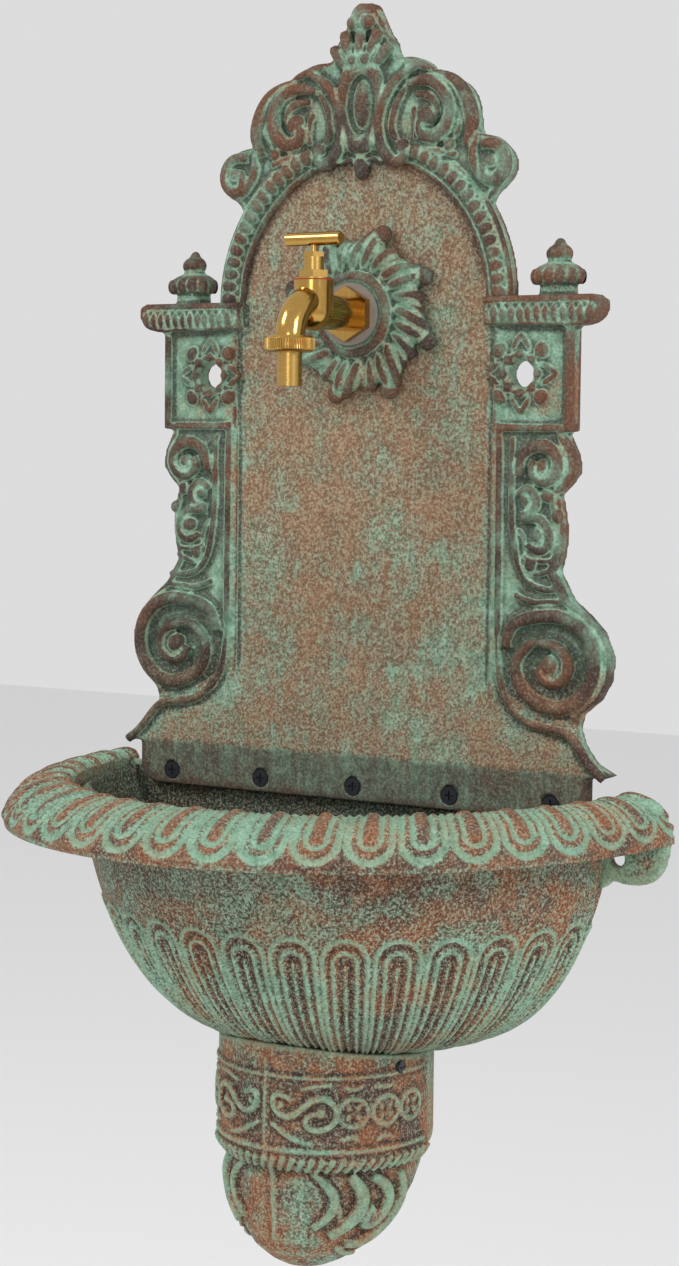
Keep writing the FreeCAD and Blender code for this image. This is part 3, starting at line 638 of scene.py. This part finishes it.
def bracket():
    edge = bracket_edge()
    parts = [slab([(92, -33)] + edge + [(92, -236)], 0, -9.5)]
    rim = [(x - 4, z) for x, z in edge]
    parts.append(ridge(on_plate(rim, -9.5), 2.6, 0.9))
    lines = (
        (4.6, -12.0, coil(128.5, -55, 16.5, 6, 200, -1.15, 18)),
        (2.6, -10.5, [(107, -38), (108, -55), (107, -75), (109, -98), (113, -116), (122, -126), (134, -128),
                      (143, -127)]),
        (4.0, -11.0, [(112, -72), (118, -66), (126, -74), (122, -82), (114, -84)]),
        (4.2, -11.5, [(114, -86), (124, -84), (132, -90), (134, -100), (126, -106), (119, -101)]),
        (2.6, -11.0, [(116, -108), (126, -112), (134, -110)]),
        (2.4, -10.5, [(118, -118), (128, -120), (137, -114)]),
        (2.2, -10.5, [(112, -92), (118, -98), (117, -108)]),
        (5.2, -12.0, [(105, -163), (107, -150), (122, -144), (140, -142), (155, -148), (164, -160), (165, -177),
                      (157, -191),
                      (144, -198), (129, -196), (117, -188), (112, -176), (115, -165), (124, -159)]),
        (4.2, -12.5, [(124, -159), (137, -159), (147, -166), (148, -176), (140, -183), (130, -181), (127, -174)]),
        (2.4, -10.5, [(108, -193), (118, -200), (132, -205), (146, -206)]),
        (2.4, -10.5, [(110, -131), (120, -136), (134, -135), (144, -134)]),
    )
    for r, y, points in lines:
        parts.append(ridge(on_plate(points, y), r, 0.6))
    for x, z, r in ((129, -56, 6), (118, -75, 4.5), (127, -95, 6), (131, -72, 4.4), (138, -84, 4), (121, -113,
        4.4), (136, -173, 7.5)):
        parts.append(ball(x, -11, z, r, (1, 0.8, 1)))
    return parts


def field_edge():
    return [(98, -34), (98.5, -100), (98.5, -165), (101, -186), (109, -199), (122, -208), (138, -210), (149,
        -212), (156, -220),
            (164, -231), (173, -237)]


def flare_front(z):
    """Front of the plate's foot, which swells forward from the panel to the crease."""
    return PANEL_FRONT + (STRIP_FRONT - PANEL_FRONT) * min(max((-180 - z) / 55, 0), 1)


def flare():
    piece = slab([(-2, -180), (98.5, -180)] + field_edge()[3:] + [(-2, -237)], 0, PANEL_FRONT)
    for vertex in piece.data.vertices:
        if vertex.co.y < -0.001:
            vertex.co.y = flare_front(vertex.co.z / MM) * MM
    return piece


def half_body():
    parts = shoulder() + bracket()
    parts.append(ridge([(x, flare_front(z) - 1.0, z) for x, z in field_edge()], 3.0, 1.0))
    field = [(-2, 134)] + arc(89.5, 89, 0, 20) + [(96, 40), (96, -183), (-2, -183)]
    parts.append(slab(field, 0, PANEL_FRONT))
    parts.append(flare())
    strip_end = [(-2, CREASE_Z + 1), (163, CREASE_Z + 1), (163, -252), (159, -261), (150, STRIP_BOTTOM), (-2,
        STRIP_BOTTOM)]
    parts.append(slab(strip_end, -7.3, STRIP_FRONT))
    return mirrored(joined(parts, "plate_body"))


def plate_body():
    piece = half_body()
    heads = [post(69.0 * i, STRIP_FRONT, -255, 6.0, 5.0, "Y") for i in range(-2, 3)]
    cast(piece, 1.15)
    return relief_marked(flat_back(piece)), heads


def flat_back(piece):
    """Presses whatever stands behind the wall plane flat onto it."""
    for vertex in piece.data.vertices:
        vertex.co.y = min(vertex.co.y, 0)
    return piece


def plate_marks(piece):
    """Panel rubbed down to brown, strip darker with soot along the crease."""
    x, y, z = places(piece)
    inside = ramp(99 - np.abs(x), 0, 16) * ramp(-y, 4, 5) * ramp(140 - np.hypot(x, np.maximum(z - ARCH_Z,
        0) * 1.5), 0, 12)
    low_panel = ramp(-z, 165, 195) * ramp(175 - np.abs(x), 0, 20) * ramp(-y, 6, 7)
    strip = ramp(-z, 234, 238)
    put_mark(piece.data, "field", np.clip(np.maximum(inside, low_panel), 0, 1) * (1 - strip))
    put_mark(piece.data, "stain_and_shade", -1.0 * strip)


def leaf(angle, reach, width, lift, bend):
    """One acanthus leaf that leans over as it leaves the tap, with curled side lobes and a deep middle."""
    def at(r, sideways, y):
        a = math.radians(angle + bend * max(r - 26, 0) / 26)
        return (r * math.sin(a) + sideways * math.cos(a), y, TAP_Z + r * math.cos(a) - sideways * math.sin(a))
    parts = []
    for side in (-1, 1):
        parts.append(ridge([at(24, side * 3.0, -12), at(32, side * width * 0.6, lift), at(reach - 9,
            side * width * 0.5, lift),
                            at(reach - 2, side * 1.6, -11)], 4.3, 0.9))
        parts.append(ridge([at(27, side * width, -12), at(35, side * (width + 2.5), lift + 1), at(42,
            side * (width + 2), -12.5),
                            at(43, side * (width - 3), -11)], 3.9, 0.9))
    parts.append(ball(*at(reach - 1, 3, -12), 6.0, (1, 0.75, 1)))
    return parts


def rosette():
    parts = [post(0, -9, TAP_Z, 42, 4, "Y", tip=34), post(0, -14, TAP_Z, 24.0, 13, "Y"), hoop(0, -18.6, TAP_Z,
        23.0, 3.9)]
    for i in range(8):
        parts += leaf(45 * i, 52, 7.0, -16, 16)
        parts.append(ridge([(r * math.sin(math.radians(45 * i + b)), y,
                             TAP_Z + r * math.cos(math.radians(45 * i + b)))
                            for r, b, y in ((27, 22, -13), (35, 25, -15), (42, 30, -13), (45, 35, -10))], 4.6, 0.9))
    piece = joined(parts, "tap_rosette")
    return relief_marked(cast(piece, 0.95))


# ---------------------------------------------------------------- basin
RIM_TOP, LIP_Z = -247.0, -273.0
RIM_HALF, RIM_DEPTH = high("basin")[0], -low("basin")[1]
BOWL_HALF, BOWL_DEPTH, BOWL_SET = 177.0, 173.0, -5.0
BOWL_TOP, BOWL_H, BOWL_WALL = -240.0, 171.0, 7.0
WASTE_Y = (low("waste_strainer")[1] + high("waste_strainer")[1]) / 2
LOBES = 23
ARCH_PITCH = 11.25
ARCH_CROWN = -320.0


def bowl_share(depth, height):
    """Share of the bowl's full width left at this depth below its top."""
    return max(1 - min(depth / height, 1.0) ** 1.64, 0.0) ** (1 / 3.9)


def bowl_row(z, inset):
    s = bowl_share(BOWL_TOP - z, BOWL_H - inset)
    return z, (BOWL_HALF - inset) * s, (BOWL_DEPTH - inset) * s, BOWL_SET


def bowl_bottom(inset):
    return BOWL_TOP - 0.99 * (BOWL_H - inset)


def between_rows(rows, steps):
    """Rows of a profile with this many straight steps between each two."""
    out = []
    for one, two in zip(rows, rows[1:]):
        out += [tuple(a + (b - a) * k / steps for a, b in zip(one, two)) for k in range(steps)]
    return out + [rows[-1]]


def line_at(distance, width):
    return np.exp(-(distance / width) ** 2)


def hairpin(u, v, top):
    """Distance from the middle of an upright hairpin whose crown is centred on v = top."""
    return np.where(v < top, np.abs(u), np.hypot(u, v - top))


def swept(rows, columns, name, relief=None):
    """Closed half-oval skin: rows are (z, half width, half depth, centre y), columns run from wall to wall."""
    nothing_selected()
    bpy.ops.mesh.primitive_grid_add(x_subdivisions=columns - 1, y_subdivisions=len(rows) - 1, size=1)
    piece = current()
    rows = np.array(rows)
    reach = np.arccos(np.clip((rows[:, 3] + 0.2) / np.maximum(rows[:, 2], 0.3), -1, 1))[:, None]
    turn = np.linspace(-1, 1, columns)[None, :] * reach
    z = np.repeat(rows[:, :1], columns, 1)
    height, mark = relief(turn, z) if relief else (np.zeros_like(z), np.full_like(z, 0.5))
    x = rows[:, 1:2] * np.sin(turn)
    y = rows[:, 3:4] - rows[:, 2:3] * np.cos(turn)
    spots = np.stack([x, y, z], 2)
    across = np.gradient(spots, axis=1)
    along = np.gradient(spots, axis=0)
    out = np.cross(across, along)
    size = np.linalg.norm(out, axis=2, keepdims=True)
    out = out / np.where(size < 1e-9, 1, size)
    spots = spots + out * height[:, :, None]
    spots[:, :, 0] = np.clip(spots[:, :, 0], -RIM_HALF, RIM_HALF)
    spots[:, :, 1] = np.clip(spots[:, :, 1], -RIM_DEPTH, 0)
    piece.data.vertices.foreach_set("co", (spots.reshape(-1, 3) * MM).ravel())
    layer = piece.data.attributes.new("relief", "FLOAT", "POINT")
    layer.data.foreach_set("value", mark.astype(np.float32).ravel())
    piece.name = piece.data.name = name
    return piece


def rim():
    """Convex lip with a gadroon border, hollow underneath."""
    front = soft_rows([(-250.5, 174.5, 190.5, 0), (-247.8, 179.5, 196.0, 0), (RIM_TOP, 186.4, 203.5, 0),
                       (-250.4, 198.0, 219.0, 0), (-257.4, 206.4, 231.0, 0),
                       (-266.0, 211.2, 238.3, 0), (LIP_Z, RIM_HALF, RIM_DEPTH, 0)], 13)
    under = between_rows([front[-1], (LIP_Z, 206.4, 233.5, 0), (-266.5, 205.4, 232.5, 0), (-257.4, 200.4, 225.5, 0),
                          (-254.5, 190, 208, 0), (-258, 176, 190, -1), front[0]], 3)
    lips = len(front)

    def gadroons(turn, z):
        rows = z.shape[0]
        down = np.zeros(rows)
        path = np.array([(row[0], row[2]) for row in front])
        down[:lips] = np.concatenate([[0], np.cumsum(np.hypot(*np.diff(path, axis=0).T))])
        down = down[:, None] * np.ones_like(turn)
        pitch = math.pi / LOBES
        u = (np.mod(turn, pitch) - pitch / 2) * 214
        outer = np.abs(hairpin(u, down, 44.0) - 12.2)
        inner = np.abs(hairpin(u, down, 42.0) - 5.8)
        fade = np.clip(down / 5.0, 0, 1) * np.clip((down[lips - 1] - 1.5 - down) / 3.0, 0, 1)
        fade[lips:] = 0
        lobes = 2.5 * line_at(outer, 2.7) + 2.3 * line_at(inner, 2.3)
        mark = 0.2 + 0.3 * lobes
        mark = 0.5 + (mark - 0.5) * fade
        return (lobes - 2.0) * fade - 0.2 * (down > 0), np.clip(mark, 0, 1)

    rows = front + under[1:]
    piece = swept(rows, 620, "basin_rim", gadroons)
    return closed_ends(piece)


def soft_rows(rows, steps):
    """Smooth profile through these rows."""
    out = []
    pts = [np.array(r, float) for r in rows]
    for i in range(len(pts) - 1):
        a, b = pts[max(i - 1, 0)], pts[i]
        c, d = pts[i + 1], pts[min(i + 2, len(pts) - 1)]
        for k in range(steps):
            t = k / steps
            out.append(tuple(0.5 * (2 * b + (c - a) * t + (2 * a - 5 * b + 4 * c - d) * t ** 2 + (3 * b - a - 3 * c + d) * t ** 3)))
    return out + [rows[-1]]


def closed_ends(piece):
    """Welds doubled rows and fills the flat ends at the wall, then turns every face outward."""
    nothing_selected()
    piece.select_set(True)
    bpy.context.view_layer.objects.active = piece
    bpy.ops.object.mode_set(mode="EDIT")
    bpy.ops.mesh.select_all(action="SELECT")
    bpy.ops.mesh.remove_doubles(threshold=0.00001)
    bpy.ops.mesh.select_all(action="DESELECT")
    bpy.ops.mesh.select_mode(type="EDGE")
    bpy.ops.mesh.select_non_manifold(extend=False)
    bpy.ops.mesh.fill(use_beauty=False)
    bpy.ops.mesh.select_all(action="SELECT")
    bpy.ops.mesh.normals_make_consistent(inside=False)
    bpy.ops.mesh.select_mode(type="VERT")
    bpy.ops.object.mode_set(mode="OBJECT")
    for polygon in piece.data.polygons:
        polygon.use_smooth = True
    return piece


def bowl():
    """Thin-walled bowl with nested arches outside and a plain wall inside."""
    n_out, n_in = ((125, 40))
    outside = [(bowl_bottom(0), 0.02, 0.02, BOWL_SET), (bowl_bottom(0), 30, 30, BOWL_SET)]
    outside += [bowl_row(bowl_bottom(0) + (-258 - bowl_bottom(0)) * (k / n_out) ** 1.35,
                         0) for k in range(n_out + 1)]
    inside = [bowl_row(-254 + (bowl_bottom(BOWL_WALL) + 254) * (1 - (1 - k / n_in) ** 1.5),
                       BOWL_WALL) for k in range(n_in + 1)]
    inside += [(bowl_bottom(BOWL_WALL), 30, 30, BOWL_SET), (bowl_bottom(BOWL_WALL), 0.02, 0.02, BOWL_SET)]
    rows = outside + inside
    lips = len(outside)

    def arches(turn, z):
        path = np.array([(row[0], row[2]) for row in rows[:lips]])
        up = np.concatenate([[0], np.cumsum(np.hypot(*np.diff(path, axis=0).T))])
        crown = np.interp(ARCH_CROWN, [row[0] for row in rows[1:lips]], up[1:])
        v = np.zeros(z.shape[0])
        v[:lips] = up - crown
        v = v[:, None] * np.ones_like(turn)
        pitch = math.radians(ARCH_PITCH)
        u = (np.mod(turn, pitch) - pitch / 2) * 162
        outer = line_at(np.abs(hairpin(u, v, -16.6) - 13.7), 2.35)
        inner = line_at(np.abs(hairpin(u, v, -18.6) - 7.3), 2.1)
        rib = line_at(np.hypot(u, np.maximum(v + 21, 0)), 1.6)
        lines = np.maximum(np.maximum(outer, inner * 0.9), rib * 0.75)
        inside_arch = (hairpin(u, v, -16.6) < 13.7) | (v < -16.6)
        there = np.clip(np.where(inside_arch, 1.0, outer), 0, 1)
        there[lips:] = 0
        wave = 0.5 * np.sin(turn * 7.0 + z * 0.02) + 0.3 * np.sin(turn * 17.0 - z * 0.05)
        wave[lips:] = 0
        mark = 0.5 + there * (lines * 0.75 - 0.38)
        return there * (lines * 2.7 - 1.3) + wave * 0.4 - 0.3, np.clip(mark, 0, 1)

    piece = closed_ends(swept(rows, 500, "basin_bowl", arches))
    drilled(piece, post(0, WASTE_Y, bowl_bottom(0) + 3, 17.6, 30, "Z"))
    x, y, z = places(piece)
    turn = np.degrees(np.arctan2(x, -y - 5))
    reach = np.array([bowl_row(level, 4.0)[1] for level in np.clip(z, bowl_bottom(4), -240)])
    # The field mark covers the inside of the bowl, which the basin finish paints near black as painted shade.
    put_mark(piece.data, "field", ramp(reach - np.hypot(x, (y - BOWL_SET) * BOWL_HALF / BOWL_DEPTH), -1, 1))
    rust = 0.8 * np.exp(-((turn - 30) / 8) ** 2 - ((z + 279) / 13) ** 2) + 0.2 * np.exp(-((turn - 55) / 25) ** 2 - ((z + 300) / 20) ** 2)
    # A sooty patch left of the front, plus painted shade darkening the bowl's underside from z -375 down to where
    # it sits on the corbel.
    soot_and_shade = 0.9 * np.exp(-((turn + 18) / 26) ** 2 - ((z + 292) / 26) ** 2) + 0.5 * ramp(-z, 375, 405)
    put_mark(piece.data, "stain_and_shade", rust - soot_and_shade)
    return piece


def basin_back():
    """Flat wall side of the basin: screw flange, bowl back, ears with wall holes and the rounded rim ends."""
    levels = [-252 + (bowl_bottom(3.5) + 252) * (1 - (1 - k / 16) ** 1.7) for k in range(17)]
    half = [(bowl_row(z, 3.5)[1], z) for z in levels]
    outline = [(-x, z) for x, z in reversed(half)] + [(-153, -252), (-153, FLANGE_TOP), (153, FLANGE_TOP), (153,
        -252)] + half
    parts = [slab(outline, 0, -7)]
    ear = soft([(166, -254), (200, -254), (210.5, -268), (211, -277), (207, -290), (199, -297.5), (186, -299),
                (176, -298), (168, -303),
                (164, -290)], 4)
    for side in (-1, 1):
        lug = slab([(side * x, z) for x, z in ear], 0, -8)
        drilled(lug, post(side * 179, -4, -284, 5, 30, "Y"))
        parts += [lug, ball(side * 196, -8, -253.5, 9.5, (1.35, 0.8, 0.72)), ball(side * 181, -7, -252, 6.0,
            (1.2, 0.9, 0.7))]
    piece = relief_marked(cast(joined(parts, "basin_back"), 1.5))
    x, y, z = places(piece)
    # The field mark covers the back wall inside the bowl, which is painted near black as shade, like the bowl's
    # inside.
    put_mark(piece.data, "field", ramp(-y, 5.5, 6.5) * ramp(172 - np.abs(x), 0, 6))
    return piece


# ---------------------------------------------------------------- corbel
BAND_BOTTOM = -468.0
CORBEL_ROWS = [(CORBEL_BOTTOM + 0.3, 4, 4, -61), (-542, 15, 16, -60.5), (-538, 23.5, 25, -59), (-530, 35, 37,
    -56), (-520, 43.5, 45, -52.5),
               (-508, 51, 50.5, -48), (-495, 56, 55, -43.5), (-483, 58.5, 59, -40.5), (-476, 58, 59, -39.5),
               (-472, 61.5, 62, -40),
               (BAND_BOTTOM, 65.2, 67, -41), (-464, 65.8, 67.8, -41), (-440, 65.8, 67.8, -41), (-405, 65.8,
                   67.8, -41)]


def corbel_at(angle, z, out=0.0):
    """Point on the corbel's skin; the angle is in degrees from the front towards +x."""
    rows = CORBEL_ROWS
    levels = [row[0] for row in rows]
    a, b, y = (np.interp(z, levels, [row[k] for row in rows]) for k in (1, 2, 3))
    t = math.radians(angle)
    return ((a + out) * math.sin(t), y - (b + out) * math.cos(t), z)


def under_bowl(x, y):
    """Height of the bowl's underside above this point."""
    s = min(math.hypot(x / BOWL_HALF, (y - BOWL_SET) / BOWL_DEPTH), 1.0)
    depth = BOWL_H * min((1 - s ** 3.9) ** (1 / 1.64), 0.99)
    return BOWL_TOP - depth


def oval_stack(rows, sides, inset=0.0, top=None):
    """Closed solid through horizontal ovals; the last ring follows the bowl unless a top is given."""
    nothing_selected()
    count = len(rows)
    bpy.ops.mesh.primitive_cylinder_add(vertices=sides, radius=1, depth=1, end_fill_type="NGON")
    piece = current()
    steps = count - 2
    spots = []
    for k, (z, a, b, y) in enumerate(rows):
        for i in range(sides):
            t = 2 * math.pi * i / sides
            px, py = (a - inset) * math.sin(t), y - (b - inset) * math.cos(t)
            spots.append((px, py, z))
        if k == count - 1:
            spots[-sides:] = [(px, py, top if top else under_bowl(px, py) - 1.5) for px, py, _ in spots[-sides:]]
    mesh = bpy.data.meshes.new("oval_stack")
    faces = [[k * sides + i, k * sides + (i + 1) % sides, (k + 1) * sides + (i + 1) % sides, (k + 1) * sides + i]
             for k in range(count - 1) for i in range(sides)]
    faces += [list(range(sides))[::-1], [(count - 1) * sides + i for i in range(sides)]]
    mesh.from_pydata([(x * MM, y * MM, z * MM) for x, y, z in spots], [], faces)
    piece.data = mesh
    edit(lambda: bpy.ops.mesh.normals_make_consistent(inside=False))
    return piece


def on_corbel(points, out=0.5):
    return [corbel_at(angle, z, out) for angle, z in points]


def corbel_ornament():
    parts = []
    for side in (-1, 1):
        lines = (
            (2.3, [(14, -430), (7, -426), (4, -433), (8, -440), (15, -441), (21, -435), (27, -429), (34, -429),
                   (39, -436),
                   (37, -445), (29, -449), (22, -446), (23, -439), (30, -438)]),
            (1.9, [(4, -446), (10, -450), (17, -455), (26, -457)]),
            (1.9, [(20, -424), (28, -421), (36, -421)]),
            (2.0, [(41, -455), (46, -450), (50, -455)]),
            (1.8, [(42, -422), (47, -426), (52, -422)]),
            (1.8, [(60, -422), (65, -426), (70, -422)]),
            (1.8, [(60, -456), (65, -451), (70, -456)]),
            (3.4, [(24, -476), (34, -484), (40, -494), (37, -505), (29, -511)]),
            (5.0, [(46, -478), (54, -486), (57, -497), (52, -508), (42, -516)]),
            (4.6, [(60, -480), (70, -485), (76, -496), (73, -507), (64, -510), (60, -503), (66, -499)]),
            (4.6, [(80, -480), (87, -490), (88, -504), (82, -516), (70, -523), (58, -522)]),
            (3.2, [(52, -524), (64, -530), (78, -530)]),
            (3.0, [(36, -490), (46, -500), (48, -514)]),
        )
        for r, points in lines:
            parts.append(ridge(on_corbel([(side * a, z) for a, z in points], 0.4 * r), r, 0.6))
        for a in (47, 65, 82):
            loop = [(a + 8.2 * math.cos(0.785 * k), -438 + 9.0 * math.sin(0.785 * k)) for k in range(8)]
            parts.append(ridge(on_corbel([(side * t, z) for t, z in loop]), 2.0, 1.0, closed=True))
            for k in range(4):
                t, z = a + 3.6 * math.cos(1.571 * k + 0.785), -438 + 4.0 * math.sin(1.571 * k + 0.785)
                parts.append(ball(*corbel_at(side * t, z, 0), 2.3, segments=10))
        for a, z, r in ((30, -438, 3.0), (9, -434, 2.4), (67, -503, 4.6), (42, -500, 3.4)):
            parts.append(ball(*corbel_at(side * a, z, 0), r))
    parts.append(ridge([corbel_at(0, z, -0.5) for z in (-408, -430, -450, -466, -480, -500, -520)], 2.2, 0.9))
    parts.append(ridge(on_corbel([(a, -417) for a in range(-96, 97, 8)]), 1.3, 1.0))
    parts.append(ridge(on_corbel([(a, -461.5) for a in range(-96, 97, 8)]), 1.5, 1.0))
    turns = 38
    for i in range(turns):
        a = -98 + 196 * i / (turns - 1)
        parts.append(ridge([corbel_at(a - 2.6, -475, 3.0), corbel_at(a, -471, 3.4), corbel_at(a + 2.6, -466.5,
            1.6)], 2.0, 0.9))
    return parts


def corbel():
    shell = oval_stack(CORBEL_ROWS, 96)
    inner = [row for row in CORBEL_ROWS if row[0] > -540]
    drilled(shell, oval_stack(inner, 64, 6.5, -380))
    parts = [shell] + corbel_ornament()
    piece = joined(parts, "corbel_casting")
    edit(lambda: bpy.ops.mesh.bisect(plane_co=(0, -0.0001, 0), plane_no=(0, 1, 0), use_fill=True, clear_outer=True))
    return relief_marked(cast(piece, 1.05))


# ---------------------------------------------------------------- tap
def turned(profile, x, y, sides, name, wave=None):
    """Lathe-turned piece on an upright axis: profile is (radius, height) from the bottom inside edge round to the top."""
    spots, faces = [], []
    n = len(profile)
    for k, (r, z) in enumerate(profile):
        for i in range(sides):
            t = 2 * math.pi * i / sides
            rr = r + (wave(i, k) if wave else 0)
            spots.append(((x + rr * math.cos(t)) * MM, (y + rr * math.sin(t)) * MM, z * MM))
    for k in range(n):
        for i in range(sides):
            j, m = (i + 1) % sides, (k + 1) % n
            faces.append([k * sides + i, k * sides + j, m * sides + j, m * sides + i])
    nothing_selected()
    bpy.ops.mesh.primitive_circle_add(vertices=3, radius=0.01)
    piece = current()
    piece.data = bpy.data.meshes.new(name)
    piece.data.from_pydata(spots, [], faces)
    edit(lambda: bpy.ops.mesh.normals_make_consistent(inside=False))
    piece.location = (0, 0, 0)
    piece.name = name
    return smooth(piece, 35)


def smooth(piece, degrees=35):
    nothing_selected()
    piece.select_set(True)
    bpy.context.view_layer.objects.active = piece
    bpy.ops.object.shade_smooth_by_angle(angle=math.radians(degrees))
    return piece


def knurled_nut():
    """Round union nut with fine upright knurls between two plain edges."""
    lo, hi = low("union_nut"), high("union_nut")
    r, z0, z1 = (hi[0] - lo[0]) / 2, lo[2], hi[2]
    bore, thread = 8.4, 12.75
    profile = [(bore, z0), (r - 2.2, z0), (r - 1.0, z0 + 0.7), (r - 0.45, z0 + 1.2), (r - 0.4, z0 + 1.7),
               (r - 0.4, z1 - 1.7),
               (r - 0.45, z1 - 1.2), (r - 1.0, z1 - 0.7), (r - 1.6, z1), (thread, z1), (thread, z0 + 2.1),
               (bore, z0 + 2.0)]
    return turned(profile, 0, SPOUT_Y, 240, "union_nut_knurled",
                  lambda i, k: 0.38 * (1 if i % 4 < 2 else -1) if k in (4, 5) else 0)


def finishes():
    """Finishes of the parts that keep their modelled shape."""
    by_slot = {"polished_brass": BRASS, "black_screw": SCREW_BLACK, "black_rubber": RUBBER,
               "grey_fibre": FIBRE_GREY,
               "red_fibre": FIBRE_RED, "white_packing": PACKING, "patina_iron": CASTING}
    slots = frame["record"]["subparts"]
    for part in slots:
        node = frame["nodes"].get(part["node"])
        if node is None:
            continue
        material = by_slot[part["material_slot"]]
        if part["node"] in ("union_nut", "hose_tail", "gland_nut", "bonnet"):
            material = TURNED
        node.data.materials.clear()
        node.data.materials.append(material)
        if not any(p.use_smooth for p in node.data.polygons):
            smooth(node, 30)


# ---------------------------------------------------------------- the whole fountain
finishes()
body, holes = plate_body()
for hole in holes:
    drilled(body, hole)
drilled(body, post(0, 0, TAP_Z, 20, 28, "Y"))
drilled(body, post(0, -6, TAP_Z, 10.8, 60, "Y"))
plate_marks(body)
dressed(body, CASTING, "back_plate", "fountain")
dressed(crest(), CASTING, "back_plate", "fountain")
boss = rosette()
drilled(boss, post(0, 0, TAP_Z, 20, 28, "Y"))
drilled(boss, post(0, -16, TAP_Z, 10.8, 40, "Y"))
dressed(boss, CASTING, "back_plate", "fountain")
dressed(rim(), RIM_SKIN, "basin", "fountain")
dressed(bowl(), BASIN_SKIN, "basin", "fountain")
dressed(basin_back(), BASIN_SKIN, "basin", "fountain")
dressed(corbel(), CORBEL_SKIN, "corbel", "fountain")
dressed(knurled_nut(), TURNED, "union_nut", "union_nut")


# ---------------------------------------------------------------- floor, light and camera
def stage():
    nothing_selected()
    bpy.ops.mesh.primitive_plane_add(size=12, location=(0, 0, -0.95))
    floor = settled(current(), "floor")
    pale = Finish("pale_floor", Roughness=0.9)
    pale.shader.inputs["Base Color"].default_value = (0.86, 0.86, 0.86, 1)
    floor.data.materials.append(pale.material)
    world = bpy.data.worlds.new("studio")
    world.use_nodes = True
    world.node_tree.nodes["Background"].inputs["Color"].default_value = (1, 1, 1, 1)
    world.node_tree.nodes["Background"].inputs["Strength"].default_value = 0.72
    bpy.context.scene.world = world
    for name, spot, aim, size, watts in (("key", (-1.3, -1.7, 1.7), (0, 0, -0.1), 0.9, 30), ("side", (2.2, -0.7,
        0.9), (0, 0, -0.15), 0.8, 22),
                                         ("front", (0.9, -2.6, 0.3), (0, 0, -0.2), 0.8, 6)):
        lamp = bpy.data.lights.new(name, "AREA")
        lamp.size, lamp.energy = size, watts
        light = bpy.data.objects.new(name, lamp)
        bpy.context.scene.collection.objects.link(light)
        light.location = spot
        light.rotation_euler = (Vector(aim) - Vector(spot)).to_track_quat("-Z", "Y").to_euler()


def camera():
    yaw, pitch, roll = (math.radians(a) for a in (31.98, 4.25, 0.60))
    forward = Vector((-math.sin(yaw) * math.cos(pitch), math.cos(yaw) * math.cos(pitch), -math.sin(pitch)))
    right = Vector((math.cos(yaw), math.sin(yaw), 0))
    up = right.cross(forward)
    right, up = right * math.cos(roll) + up * math.sin(roll), up * math.cos(roll) - right * math.sin(roll)
    lens = bpy.data.cameras.new("camera")
    lens.lens, lens.sensor_width, lens.sensor_height, lens.sensor_fit = 72.45, 36, 36, "VERTICAL"
    lens.clip_start = 0.01
    eye = bpy.data.objects.new("camera", lens)
    bpy.context.scene.collection.objects.link(eye)
    turn = Matrix((right, up, -forward)).transposed().to_4x4()
    turn.translation = Vector((0.8255, -1.3533, -0.0424))
    eye.matrix_world = turn
    bpy.context.scene.camera = eye


stage()
camera()
bpy.context.scene.view_settings.view_transform = "Standard"
